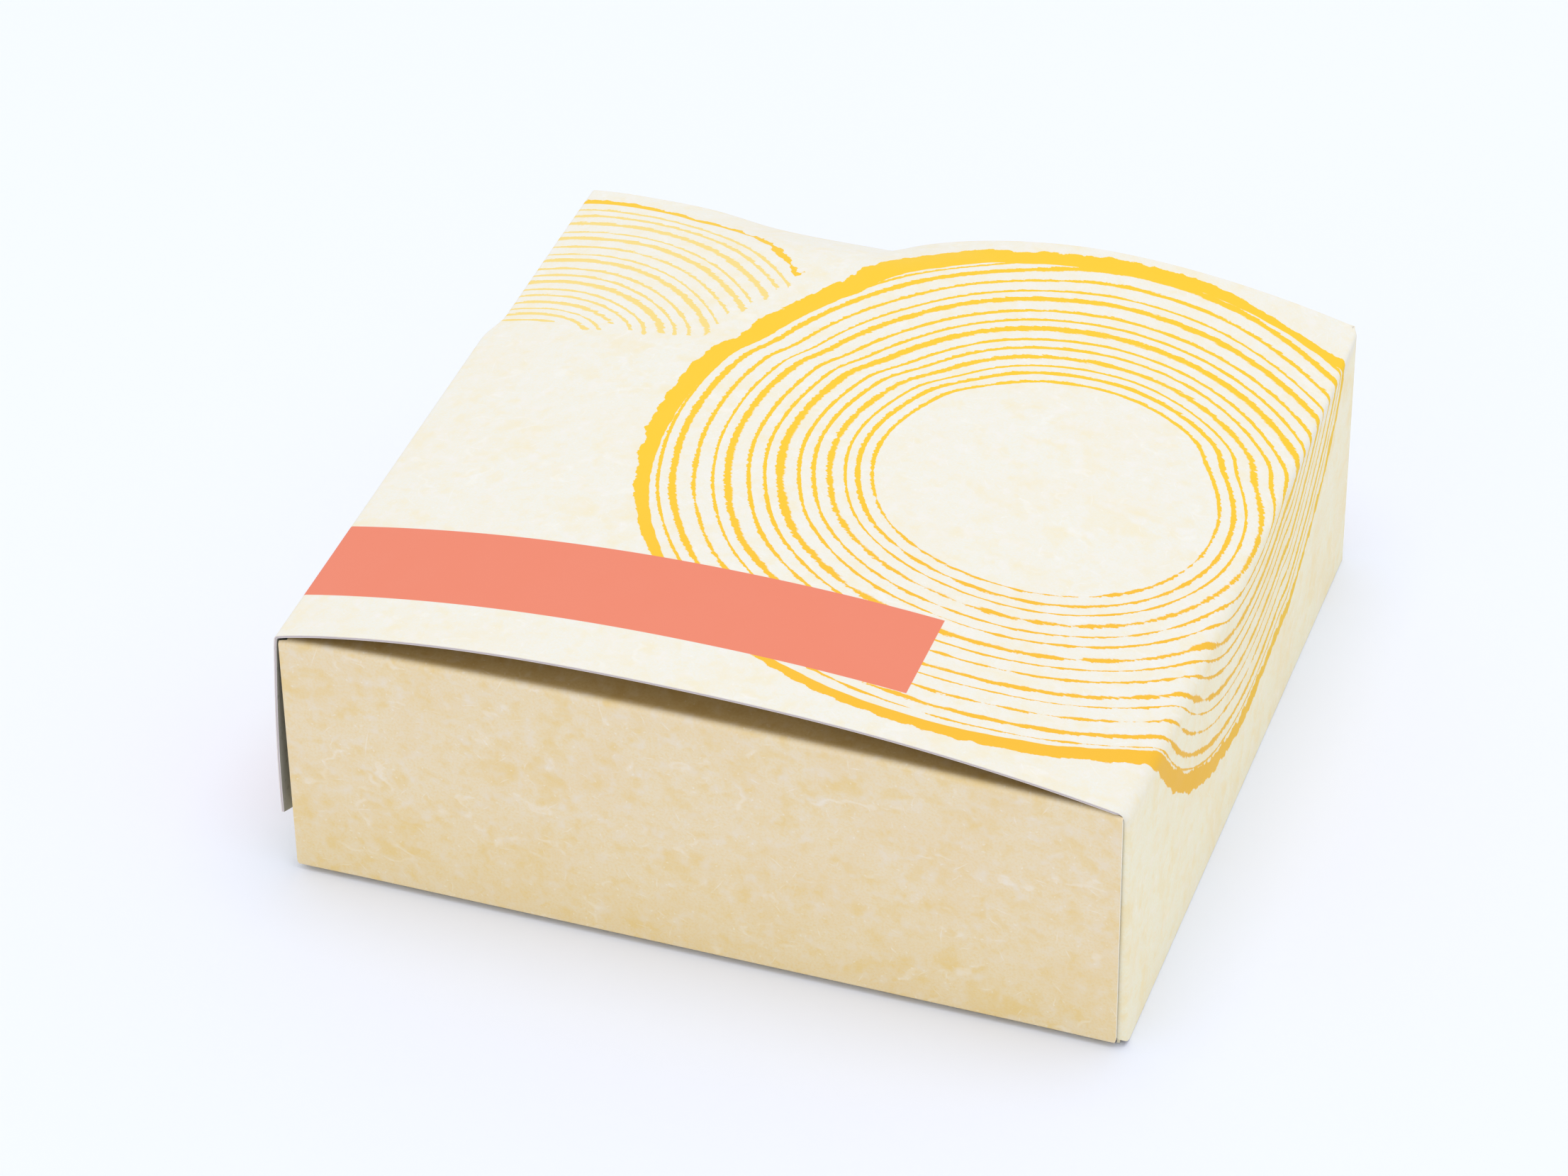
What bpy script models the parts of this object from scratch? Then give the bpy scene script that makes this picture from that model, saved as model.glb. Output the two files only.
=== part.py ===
"""A shut, low and nearly square carton of folded paperboard, standing on its base.

One board wraps over the top: its short flap hangs outside the left wall, its top
arches up under the pressure of the flaps below, and it turns down over a soft
crease to become the right wall.  A second strip of board is the base, folded up
at the front and the back into the two end panels, whose tuck flaps go under the
top.  The base sags under the load, so its two folds stand clear of the floor.
The inner block is everything between them, with the left wall as its side.

Lengths are metres.  The shapes are worked out with x from the end panels' left
edge, y from the front panel's face towards the back, and z from the floor, and
every piece is then moved so that the origin is the middle of the footprint.
"""

import math

import bmesh
import bpy
from mathutils import Matrix, Vector

# Driving sizes of the carton
PANEL_WIDTH = 0.156
DEPTH = 0.153
WALL_HEIGHT = 0.05325
BOARD = 0.0005
GAP = 0.0003

# Folds, as radii of the board's outer face
LEFT_FOLD = 0.0010
RIGHT_FOLD_FRONT = 0.0030
RIGHT_FOLD_BACK = 0.0009
RIGHT_FOLD_CHANGE = 0.050
PANEL_TOP_FOLD = 0.0011
BASE_FOLD = 0.0009
WALL_END_FOLD = 0.0010

# The top's left fold, which steps inwards and down behind a small kink
LEFT_EDGE_FRONT = -0.0007
LEFT_EDGE_BACK = 0.0012
LEFT_EDGE_RISE = 0.0004
LEFT_EDGE_DROP = 0.0001
KINK_START = 0.0985
KINK_END = 0.1065

# The left wall behind the flap, which follows the top's fold, and the end panels' left edges
LEFT_WALL_BEHIND = 0.0009
PANEL_EDGE_PROUD = 0.0002

# The right wall leans out towards the floor, and its crease bellies out a little
RIGHT_EDGE = 0.1571
RIGHT_FOOT = 0.15765
RIGHT_BELLY = 0.0005
RIGHT_BACK_OUT = 0.0007
RIGHT_BACK_START = 0.070
RIGHT_EDGE_DROP_FRONT = 0.0002
RIGHT_EDGE_RISE_BACK = 0.0009
WALL_FOOT_CLEARANCE = 0.0003

# The arch of the top at its front edge
FRONT_ARCH_RISE = 0.00745
FRONT_ARCH_PEAK = 0.468
FRONT_ARCH_FULLNESS = 2.3

# The broad arch between the top's free edges
MIDDLE_ARCH_RISE = 0.00812
MIDDLE_ARCH_PEAK = 0.498
MIDDLE_ARCH_FULLNESS = 2.11
RIGHT_EDGE_DROP_MIDDLE = 0.00095

# The bulge and the shallow dip of the top at its back edge
BACK_BULGE_START = 0.065
BACK_BULGE_RISE = 0.0083
BACK_BULGE_PEAK = 0.44
BACK_BULGE_FULLNESS = 1.85
BACK_DIP = 0.0012
BACK_RIPPLE_RISE = 0.0014
BACK_RIPPLE_MIDDLE = 0.017
BACK_RIPPLE_HALF_WIDTH = 0.018

# How far from its free edges the top settles to the broad arch between them
FRONT_LIP = 0.0215
BACK_LIP = 0.021

# The flap that hangs outside the left wall, with its lower corners cut off at a slope
FLAP_DROP = 0.0430
FLAP_CORNER_DROP = 0.0396
FLAP_CORNER = 0.0060
FLAP_STAND_OFF_TOP = 0.0001
FLAP_STAND_OFF_FOOT = 0.0019
FLAP_SET_BACK = 0.0006

# The end panels and their tuck flaps
PANEL_CORNER_START = 0.0013
BASE_INSET = 0.0010
FOOT_LIFT = 0.0011
SAG_REACH = 0.025
BASE_STATIONS = (0.005, 0.009, 0.013, 0.018, 0.025, 0.050, 0.0765)
TUCK_DEPTH = 0.024
TUCK_INSET = 0.0015
TUCK_CORNER = 0.006
FRONT_FOLD_LIFT = 0.0023
FRONT_FOLD_PEAK = 0.45
BACK_FOLD_LIFT = 0.0010
BACK_FOLD_PEAK = 0.55
FOLD_FULLNESS = 2.0
LID_SHADOW_GAP = 0.00105

# The right wall's ends, turned in behind the end panels
WALL_RETURN = 0.007
WALL_END_PLANE = BOARD + GAP
RETURN_FOOT = FOOT_LIFT + 2.0 * BOARD
RETURN_TOP = WALL_HEIGHT - 0.003

# The inner block
BLOCK_SET_BACK = 2.0 * (BOARD + GAP)
WALL_FOOT = 0.00015
FOOT_WIDTH = BOARD

# Mesh density, as cells along each stretch
LID_CELLS = 26
DEPTH_CELLS = 22
FOLD_CELLS = 4
WALL_CELLS = 5
BLOCK_CELLS = 26

CARD_PRINTED = ((0.913, 0.847, 0.617), 0.62)
CARD_SHADED = ((0.79, 0.67, 0.45), 0.64)
CARD_INNER = ((0.80, 0.77, 0.66), 0.75)


def mix(first, second, share):
    """Value that is the given share of the way from the first to the second."""
    return first + (second - first) * share


def ease(start, end, value):
    """Smooth step from 0 at start to 1 at end."""
    share = min(1.0, max(0.0, (value - start) / (end - start)))
    return share * share * (3.0 - 2.0 * share)


def arch(share, peak, fullness):
    """Height from 0 to 1 of a flattened arch over 0 to 1, highest at the peak."""
    share = min(1.0, max(0.0, share))
    bent = share ** (math.log(0.5) / math.log(peak))
    return 1.0 - abs(2.0 * bent - 1.0) ** fullness


def settle(distance, reach):
    """Share from 0 at a free edge, rising at once and levelling off to 1 at the reach."""
    share = min(1.0, max(0.0, distance / reach))
    return math.sin(0.5 * math.pi * share)


def left_edge(y):
    """Outer x of the top's left fold, with its kink."""
    return mix(LEFT_EDGE_FRONT, LEFT_EDGE_BACK, ease(KINK_START, KINK_END, y))


def left_wall(y):
    """Outer x of the left wall behind the flap."""
    return left_edge(y) + LEFT_WALL_BEHIND


def base_level(y):
    """Height of the base's underside over the floor: raised at both ends, where its folds are."""
    return FOOT_LIFT * (1.0 - ease(BASE_FOLD, SAG_REACH, min(y, DEPTH - y)))


def strip_left(y):
    """Outer x of the base strip's left edge, before its corners are cut back."""
    return left_wall(y) - PANEL_EDGE_PROUD


def right_edge(y):
    """Outer x of the crease between the top and the right wall."""
    belly = RIGHT_BELLY * math.sin(math.pi * min(1.0, max(0.0, y / DEPTH)))
    return RIGHT_EDGE + belly + RIGHT_BACK_OUT * ease(RIGHT_BACK_START, DEPTH, y)


def front_rise(x):
    """Rise of the top above the wall height along its front edge."""
    across = (x - LEFT_EDGE_FRONT) / (RIGHT_EDGE - LEFT_EDGE_FRONT)
    line = mix(LEFT_EDGE_RISE, -RIGHT_EDGE_DROP_FRONT, across)
    return line + FRONT_ARCH_RISE * arch(across, FRONT_ARCH_PEAK, FRONT_ARCH_FULLNESS)


def middle_rise(x):
    """Rise of the top above the wall height away from its free edges."""
    across = (x - LEFT_EDGE_FRONT) / (RIGHT_EDGE - LEFT_EDGE_FRONT)
    line = mix(LEFT_EDGE_RISE, -RIGHT_EDGE_DROP_MIDDLE, across)
    return line + MIDDLE_ARCH_RISE * arch(across, MIDDLE_ARCH_PEAK, MIDDLE_ARCH_FULLNESS)


def back_rise(x):
    """Rise of the top above the wall height along its back edge."""
    across = (x - LEFT_EDGE_BACK) / (RIGHT_EDGE - LEFT_EDGE_BACK)
    line = mix(-LEFT_EDGE_DROP, RIGHT_EDGE_RISE_BACK, across)
    ripple = BACK_RIPPLE_RISE * math.exp(-((x - BACK_RIPPLE_MIDDLE) / BACK_RIPPLE_HALF_WIDTH) ** 4)
    sag = -BACK_DIP * ease(BACK_RIPPLE_MIDDLE, BACK_RIPPLE_MIDDLE + 2.0 * BACK_RIPPLE_HALF_WIDTH, x)
    sag *= 1.0 - ease(BACK_BULGE_START, RIGHT_EDGE, x)
    bulge = (x - BACK_BULGE_START) / (RIGHT_EDGE - BACK_BULGE_START)
    return line + ripple + sag + BACK_BULGE_RISE * arch(bulge, BACK_BULGE_PEAK, BACK_BULGE_FULLNESS)


def lid_height(x, y):
    """Height of the top's outer face over the floor: one broad arch that changes near both free edges."""
    middle = middle_rise(x)
    at_front = (front_rise(x) - middle) * (1.0 - settle(y, FRONT_LIP))
    at_back = (back_rise(x) - middle) * (1.0 - settle(DEPTH - y, BACK_LIP))
    return WALL_HEIGHT + middle + at_front + at_back


def front_fold_height(x):
    """Height of the front panel's top fold, bowed up in the middle and just below the top's edge."""
    bowed = WALL_HEIGHT - LID_SHADOW_GAP + FRONT_FOLD_LIFT * arch(x / PANEL_WIDTH, FRONT_FOLD_PEAK, FOLD_FULLNESS)
    return min(bowed, lid_height(x, 0.0) - LID_SHADOW_GAP)


def back_fold_height(x):
    """Height of the back panel's top fold, pressed down where the top dips."""
    bowed = WALL_HEIGHT - LID_SHADOW_GAP + BACK_FOLD_LIFT * arch(x / PANEL_WIDTH, BACK_FOLD_PEAK, FOLD_FULLNESS)
    return min(bowed, lid_height(x, DEPTH) - LID_SHADOW_GAP)


def tuck_height(x, inwards, front):
    """Height of a tuck flap's upper face at a distance inwards from the end panel's face."""
    y = inwards if front else DEPTH - inwards
    fold = front_fold_height(x) if front else back_fold_height(x)
    under_lid = lid_height(x, y) - BOARD - GAP
    return min(mix(fold, under_lid, ease(PANEL_TOP_FOLD, TUCK_DEPTH, inwards)), under_lid)


def flap_profile(y):
    """Points (x, z) of the left flap's outer face from its free edge up to just under the fold."""
    top_x = left_edge(y)
    longest = mix(FLAP_CORNER_DROP, FLAP_DROP, min(1.0, min(y, DEPTH - y) / FLAP_CORNER))
    points = []
    for step in range(WALL_CELLS + 1):
        drop = longest * (1.0 - step / WALL_CELLS)
        drop = max(drop, LEFT_FOLD)
        swing = math.sin(0.5 * math.pi * drop / longest)
        out = mix(FLAP_STAND_OFF_TOP, FLAP_STAND_OFF_FOOT, swing)
        points.append(Vector((top_x - out, WALL_HEIGHT - drop)))
    return points


def corner_arc(corner, towards_start, towards_end, radius):
    """Points of a round fold between two straight directions that meet at a corner."""
    half = 0.5 * towards_start.angle(towards_end)
    reach = radius / math.tan(half)
    middle = (towards_start + towards_end).normalized()
    centre = corner + middle * (radius / math.sin(half))
    first = corner + towards_start * reach - centre
    turn = first.angle_signed(corner + towards_end * reach - centre)
    points = []
    for step in range(FOLD_CELLS + 1):
        spin = Matrix.Rotation(-turn * step / FOLD_CELLS, 2)
        points.append(centre + spin @ first)
    return points


def wrap_profile(y):
    """Points (x, z) of the wrap board's outer face, from the left flap over the top and down the right wall."""
    left_x = left_edge(y)
    right_x = right_edge(y)
    left_corner = Vector((left_x, lid_height(left_x, y)))
    right_corner = Vector((right_x, lid_height(right_x, y)))
    inner_left = left_x + 2.0 * LEFT_FOLD
    fold = mix(RIGHT_FOLD_FRONT, RIGHT_FOLD_BACK, ease(RIGHT_FOLD_CHANGE, DEPTH, y))
    inner_right = right_x - 2.0 * fold
    lid_from_left = (Vector((inner_left, lid_height(inner_left, y))) - left_corner).normalized()
    lid_from_right = (Vector((inner_right, lid_height(inner_right, y))) - right_corner).normalized()
    foot = Vector((RIGHT_FOOT, WALL_FOOT_CLEARANCE))
    down_wall = (foot - right_corner).normalized()

    flap = flap_profile(y)
    down_flap = (flap[-2] - flap[-1]).normalized()
    left_fold = corner_arc(left_corner, down_flap, lid_from_left, LEFT_FOLD)
    right_fold = corner_arc(right_corner, lid_from_right, down_wall, fold)
    lid = []
    for step in range(1, LID_CELLS):
        x = mix(left_fold[-1].x, right_fold[0].x, step / LID_CELLS)
        lid.append(Vector((x, lid_height(x, y))))
    wall = [right_fold[-1].lerp(foot, step / WALL_CELLS) for step in range(1, WALL_CELLS + 1)]
    return flap[:-1] + left_fold + lid + right_fold + wall


def depth_stations():
    """Distances along the wall ends and the depth, measured on the board from the front fold's middle."""
    quarter = 0.25 * math.pi * WALL_END_FOLD
    front_edge = quarter - WALL_END_FOLD - WALL_END_PLANE
    back_edge = front_edge + DEPTH
    bend = [mix(front_edge, quarter, step / FOLD_CELLS) for step in range(FOLD_CELLS)]
    middle = [mix(quarter, back_edge + front_edge - quarter, step / DEPTH_CELLS) for step in range(DEPTH_CELLS + 1)]
    ahead = [front_edge - WALL_RETURN * share for share in (1.0, 0.5, 0.1)]
    stations = ahead + bend + middle
    stations += [back_edge + front_edge - value for value in reversed(ahead + bend)]
    return stations, front_edge, back_edge


def wall_end(x, distance):
    """Place (x, y) on the wall at a distance along the board, turned in round its front end."""
    quarter = 0.25 * math.pi * WALL_END_FOLD
    if distance >= quarter:
        return x, WALL_END_PLANE + WALL_END_FOLD + distance - quarter
    if distance <= -quarter:
        return x - WALL_END_FOLD - (-quarter - distance), WALL_END_PLANE
    turn = (quarter - distance) / WALL_END_FOLD
    inwards = WALL_END_FOLD * (1.0 - math.cos(turn))
    return x - inwards, WALL_END_PLANE + WALL_END_FOLD * (1.0 - math.sin(turn))


def sheet_mesh(name, rows, columns, place, present):
    """Open grid mesh of the places for each row and column whose cells are present, facing outwards."""
    mesh = bpy.data.meshes.new(name)
    grid = bmesh.new()
    made = {}

    def corner(row, column):
        if (row, column) not in made:
            made[row, column] = grid.verts.new(place(row, column))
        return made[row, column]

    for row in range(rows - 1):
        for column in range(columns - 1):
            if present(row, column):
                grid.faces.new((
                    corner(row, column),
                    corner(row, column + 1),
                    corner(row + 1, column + 1),
                    corner(row + 1, column),
                ))
    bmesh.ops.recalc_face_normals(grid, faces=grid.faces)
    grid.to_mesh(mesh)
    grid.free()
    return mesh


def face_outwards(mesh, outside):
    """Turn the sheet's faces so that the one nearest the given point above it faces that point."""
    nearest = min(mesh.polygons, key=lambda face: (face.center - outside).length)
    if nearest.normal.dot(outside - nearest.center) < 0.0:
        mesh.flip_normals()


def principled(name, colour, roughness):
    """Plain board material of one colour."""
    material = bpy.data.materials.new(name)
    material.use_nodes = True
    shader = material.node_tree.nodes["Principled BSDF"]
    shader.inputs["Base Color"].default_value = (*colour, 1.0)
    shader.inputs["Roughness"].default_value = roughness
    shader.inputs["Metallic"].default_value = 0.0
    return material


def board_object(name, mesh, material):
    """Object whose sheet has the board's thickness on its inner side."""
    thing = bpy.data.objects.new(name, mesh)
    bpy.context.scene.collection.objects.link(thing)
    mesh.materials.append(material)
    mesh.shade_smooth()
    thickness = thing.modifiers.new("board thickness", "SOLIDIFY")
    thickness.thickness = BOARD
    thickness.offset = -1.0
    return thing


def make_wrap(material):
    """The board of the left flap, the top and the right wall, with the wall's ends turned in."""
    stations, front_edge, back_edge = depth_stations()
    profiles = {}
    for station in stations:
        y = min(DEPTH, max(0.0, station - front_edge))
        profiles[station] = wrap_profile(y)
    rows = len(profiles[stations[0]])
    wall_start = rows - 1 - WALL_CELLS
    fold_start = wall_start - FOLD_CELLS

    def place(row, column):
        station = stations[column]
        point = profiles[station][row]
        turned = min(1.0, max(0.0, (row - fold_start) / (wall_start - fold_start)))
        if station <= 0.5 * (front_edge + back_edge):
            bent_x, bent_y = wall_end(point.x, station)
        else:
            bent_x, from_back = wall_end(point.x, front_edge + back_edge - station)
            bent_y = DEPTH - from_back
        flat_y = min(DEPTH, max(0.0, station - front_edge))
        set_back = FLAP_SET_BACK * max(0.0, 1.0 - row / WALL_CELLS)
        flat_y = mix(set_back, DEPTH - set_back, flat_y / DEPTH)
        inside = station < front_edge or station > back_edge
        height = min(RETURN_TOP, max(RETURN_FOOT, point.y)) if inside else point.y
        return Vector((mix(point.x, bent_x, turned), mix(flat_y, bent_y, turned), height))

    def present(row, column):
        if row >= wall_start:
            return True
        tolerance = 0.1 * BOARD
        return stations[column] > front_edge - tolerance and stations[column + 1] < back_edge + tolerance

    mesh = sheet_mesh("lid_wrap", rows, len(stations), place, present)
    face_outwards(mesh, Vector((0.5 * PANEL_WIDTH, 0.5 * DEPTH, 2.0 * WALL_HEIGHT)))
    return board_object("lid_wrap", mesh, material)


def base_stations():
    """Distances from the front at which the base's height is worked out."""
    return list(BASE_STATIONS) + [DEPTH - y for y in reversed(BASE_STATIONS[:-1])]


def strip_route(x):
    """Points (y, z) of the base strip's outer face at one x, from the front tuck flap to the back one."""
    def end(fold_height, front):
        inner = []
        for step in range(WALL_CELLS + 1):
            inwards = mix(TUCK_DEPTH, PANEL_TOP_FOLD, step / WALL_CELLS)
            inner.append(Vector((inwards, tuck_height(x, inwards, front))))
        towards_flap = (inner[-2] - inner[-1]).normalized()
        top = corner_arc(Vector((0.0, fold_height)), towards_flap, Vector((0.0, -1.0)), PANEL_TOP_FOLD)
        corner_start = FOOT_LIFT + PANEL_CORNER_START
        panel = []
        for step in range(1, WALL_CELLS):
            panel.append(Vector((0.0, mix(top[-1].y, corner_start, step / WALL_CELLS))))
        corner = []
        for step in range(FOLD_CELLS):
            corner.append(Vector((0.0, mix(corner_start, FOOT_LIFT + BASE_FOLD, step / FOLD_CELLS))))
        fold = corner_arc(Vector((0.0, FOOT_LIFT)), Vector((0.0, 1.0)), Vector((1.0, 0.0)), BASE_FOLD)
        return inner[:-1] + top + panel + corner + fold

    front = end(front_fold_height(x), True)
    back = end(back_fold_height(x), False)
    base = [Vector((y, base_level(y))) for y in base_stations()]
    mirrored = [Vector((DEPTH - point.x, point.y)) for point in reversed(back)]
    return front + base + mirrored


def strip_inset(row, rows):
    """Distance that the base strip's side edges stand in from the end panels' full width at one row."""
    from_end = min(row, rows - 1 - row)
    tuck_rows = WALL_CELLS
    fold_end = tuck_rows + FOLD_CELLS
    panel_end = fold_end + WALL_CELLS
    corner_rows = 2 * FOLD_CELLS
    if from_end < tuck_rows:
        rounded = math.sqrt(from_end / tuck_rows)
        return TUCK_INSET + TUCK_CORNER * (1.0 - rounded)
    if from_end < fold_end - 1:
        return TUCK_INSET
    if from_end <= panel_end:
        return 0.0
    share = min(1.0, (from_end - panel_end) / corner_rows)
    return BASE_INSET * (1.0 - math.sqrt(1.0 - share * share))


def make_strip(material):
    """The board of the base, the two end panels and their tuck flaps."""
    middle = strip_route(0.5 * PANEL_WIDTH)
    rows = len(middle)
    columns = LID_CELLS + 1

    def place(row, column):
        inset = strip_inset(row, rows)
        left = strip_left(middle[row].x) + inset
        x = mix(left, PANEL_WIDTH - inset, column / LID_CELLS)
        point = strip_route(x)[row]
        return Vector((x, point.x, point.y))

    mesh = sheet_mesh("base_strip", rows, columns, place, lambda row, column: True)
    face_outwards(mesh, Vector((0.5 * PANEL_WIDTH, 0.5 * DEPTH, -WALL_HEIGHT)))
    return board_object("base_strip", mesh, material)


def block_top(x, y):
    """Height of the inner block's top face, one gap below the tuck flaps and the top."""
    from_end = min(y, DEPTH - y)
    inwards = min(TUCK_DEPTH, max(PANEL_TOP_FOLD, from_end))
    under_tuck = tuck_height(x, inwards, y < 0.5 * DEPTH)
    under_lid = lid_height(x, y) - BOARD - GAP
    level = min(under_lid, under_tuck) if from_end < TUCK_DEPTH else under_lid
    return level - 2.0 * (BOARD + GAP)


def make_block(material):
    """The solid inside of the carton, whose left face is the wall behind the outer flap."""
    right = RIGHT_EDGE - BOARD - GAP
    front = BLOCK_SET_BACK
    back = DEPTH - BLOCK_SET_BACK
    base = BOARD + GAP
    mesh = bpy.data.meshes.new("inner_block")
    solid = bmesh.new()
    bmesh.ops.create_grid(solid, x_segments=BLOCK_CELLS, y_segments=BLOCK_CELLS, size=0.5)
    for vertex in solid.verts:
        y = mix(front, back, vertex.co.y + 0.5)
        x = mix(left_wall(y), right, vertex.co.x + 0.5)
        vertex.co = Vector((x, y, block_top(x, y)))
    edges = [edge for edge in solid.edges if edge.is_boundary]
    drawn = bmesh.ops.extrude_edge_only(solid, edges=edges)["geom"]
    for vertex in drawn:
        if isinstance(vertex, bmesh.types.BMVert):
            vertex.co.z = WALL_FOOT
    rim = [edge for edge in solid.edges if edge.is_boundary]
    bmesh.ops.contextual_create(solid, geom=rim)
    bmesh.ops.recalc_face_normals(solid, faces=solid.faces)
    solid.to_mesh(mesh)
    solid.free()
    block = bpy.data.objects.new("inner_block", mesh)
    bpy.context.scene.collection.objects.link(block)
    mesh.materials.append(material)

    recess = bpy.data.meshes.new("base recess")
    cutter_mesh = bmesh.new()
    loops = []
    for y in [-base] + base_stations() + [DEPTH + base]:
        left = left_wall(y) + FOOT_WIDTH
        top = base_level(y) + base
        corners = ((left, -base), (right - FOOT_WIDTH, -base), (right - FOOT_WIDTH, top), (left, top))
        loops.append([cutter_mesh.verts.new((x, y, z)) for x, z in corners])
    cutter_mesh.faces.new(loops[0])
    cutter_mesh.faces.new(loops[-1])
    for near, beyond in zip(loops, loops[1:]):
        for side in range(4):
            after = (side + 1) % 4
            cutter_mesh.faces.new((near[side], near[after], beyond[after], beyond[side]))
    bmesh.ops.recalc_face_normals(cutter_mesh, faces=cutter_mesh.faces)
    cutter_mesh.to_mesh(recess)
    cutter_mesh.free()
    cutter = bpy.data.objects.new("base recess", recess)
    bpy.context.scene.collection.objects.link(cutter)
    cutter.hide_render = True
    cutter.display_type = "WIRE"
    cut = block.modifiers.new("base recess", "BOOLEAN")
    cut.operation = "DIFFERENCE"
    cut.solver = "EXACT"
    cut.object = cutter
    return block, cutter


def centre_footprint(pieces, helpers):
    """Move everything so that the origin is the middle of the footprint, at floor level."""
    bpy.context.view_layer.update()
    graph = bpy.context.evaluated_depsgraph_get()
    corners = []
    for piece in pieces:
        shape = piece.evaluated_get(graph).to_mesh()
        corners += [piece.matrix_world @ vertex.co for vertex in shape.vertices]
        piece.evaluated_get(graph).to_mesh_clear()
    low = Vector([min(corner[axis] for corner in corners) for axis in range(3)])
    high = Vector([max(corner[axis] for corner in corners) for axis in range(3)])
    shift = Vector((-0.5 * (low.x + high.x), -0.5 * (low.y + high.y), -low.z))
    for thing in pieces + helpers:
        thing.location = shift


def main():
    """Build the carton's three pieces."""
    for thing in list(bpy.data.objects):
        bpy.data.objects.remove(thing, do_unlink=True)
    wrap = make_wrap(principled("printed board", *CARD_PRINTED))
    strip = make_strip(principled("printed board in the shade", *CARD_SHADED))
    block, cutter = make_block(principled("plain board", *CARD_INNER))
    centre_footprint([wrap, strip, block], [cutter])


main()
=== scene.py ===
"""Looks of a shut, low folding carton of printed paperboard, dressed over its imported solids.

Two boards are made again with fine meshes in the form of their solids: the wrap, which is the loose left
flap, the arched top and the right wall, and the base strip with its end panels and tuck flaps.  The inner
block keeps its solid.  All of them carry an offset print that imitates handmade mulberry paper, and the
wrap also carries rings like those of a cut trunk and a plain coral band.

Lengths are millimetres in the carton's own coordinates: x from the end panels' left edge, y from the front
panel's face towards the back, z from the floor.  They become metres of the frame only in BoardSheet.
"""

import logging
import math
from collections.abc import Callable, Mapping
from dataclasses import dataclass
from enum import Enum, IntEnum
from functools import partial

import bpy
import numpy as np
from mathutils import Euler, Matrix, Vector


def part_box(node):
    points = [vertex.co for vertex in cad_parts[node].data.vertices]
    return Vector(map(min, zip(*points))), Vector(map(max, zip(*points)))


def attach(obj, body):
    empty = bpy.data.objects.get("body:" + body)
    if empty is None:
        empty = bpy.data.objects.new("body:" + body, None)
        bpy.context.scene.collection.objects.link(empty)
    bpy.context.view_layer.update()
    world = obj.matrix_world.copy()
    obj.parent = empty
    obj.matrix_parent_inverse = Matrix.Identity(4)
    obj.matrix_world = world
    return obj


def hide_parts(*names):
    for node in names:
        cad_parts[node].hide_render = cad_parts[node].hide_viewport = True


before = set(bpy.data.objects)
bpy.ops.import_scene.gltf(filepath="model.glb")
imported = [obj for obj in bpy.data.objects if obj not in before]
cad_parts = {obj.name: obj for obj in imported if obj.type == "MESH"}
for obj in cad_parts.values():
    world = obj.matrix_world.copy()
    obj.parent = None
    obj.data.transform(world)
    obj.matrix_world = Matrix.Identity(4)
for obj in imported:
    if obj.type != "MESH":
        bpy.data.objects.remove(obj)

log = logging.getLogger("carton")

MM = 0.001
BODY = "root"
FLAT_MAP = "flat_board"
ATLAS_MAP = "OFBake"
PLY = "ply"

Number = float | np.ndarray
Points = Callable[[np.ndarray], np.ndarray]


class Ply(IntEnum):
    """The faces of a board, in the order of their material slots."""

    PRINTED = 0
    LINER = 1
    CUT_EDGE = 2


class End(Enum):
    """The two ends of the carton that the base strip closes."""

    FRONT = "front"
    BACK = "back"


class Ground(Enum):
    """Where a print reads its place on the board from."""

    FLAT_BOARD = "the board's own millimetres before it was folded"
    LEFT_WALL = "millimetres along and up the left wall"


def mix(first: Number, second: Number, share: Number) -> Number:
    """Value that is the given share of the way from the first to the second."""
    return first + (second - first) * share


def ease(start: float, end: float, value: Number) -> Number:
    """Smooth step from 0 at start to 1 at end."""
    share = np.clip((value - start) / (end - start), 0.0, 1.0)
    return share * share * (3.0 - 2.0 * share)


def settle(distance: Number, reach: float) -> Number:
    """Share from 0 at a free edge, rising at once and levelling off to 1 at the reach."""
    return np.sin(0.5 * np.pi * np.clip(distance / reach, 0.0, 1.0))


def arch(share: Number, peak: float, fullness: float) -> Number:
    """Height from 0 to 1 of a flattened arch over 0 to 1, highest at the peak."""
    bent = np.clip(share, 0.0, 1.0) ** (math.log(0.5) / math.log(peak))
    return 1.0 - np.abs(2.0 * bent - 1.0) ** fullness


def unit(vectors: np.ndarray) -> np.ndarray:
    """The vectors along the last axis, each at length 1."""
    return vectors / np.maximum(np.linalg.norm(vectors, axis=-1, keepdims=True), 1e-12)


def distance_along(points: np.ndarray) -> np.ndarray:
    """Distance of each point along the line through all of them, from 0 at the first."""
    steps = np.linalg.norm(np.diff(points, axis=0), axis=1)
    return np.concatenate(((0.0,), np.cumsum(steps)))


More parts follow.
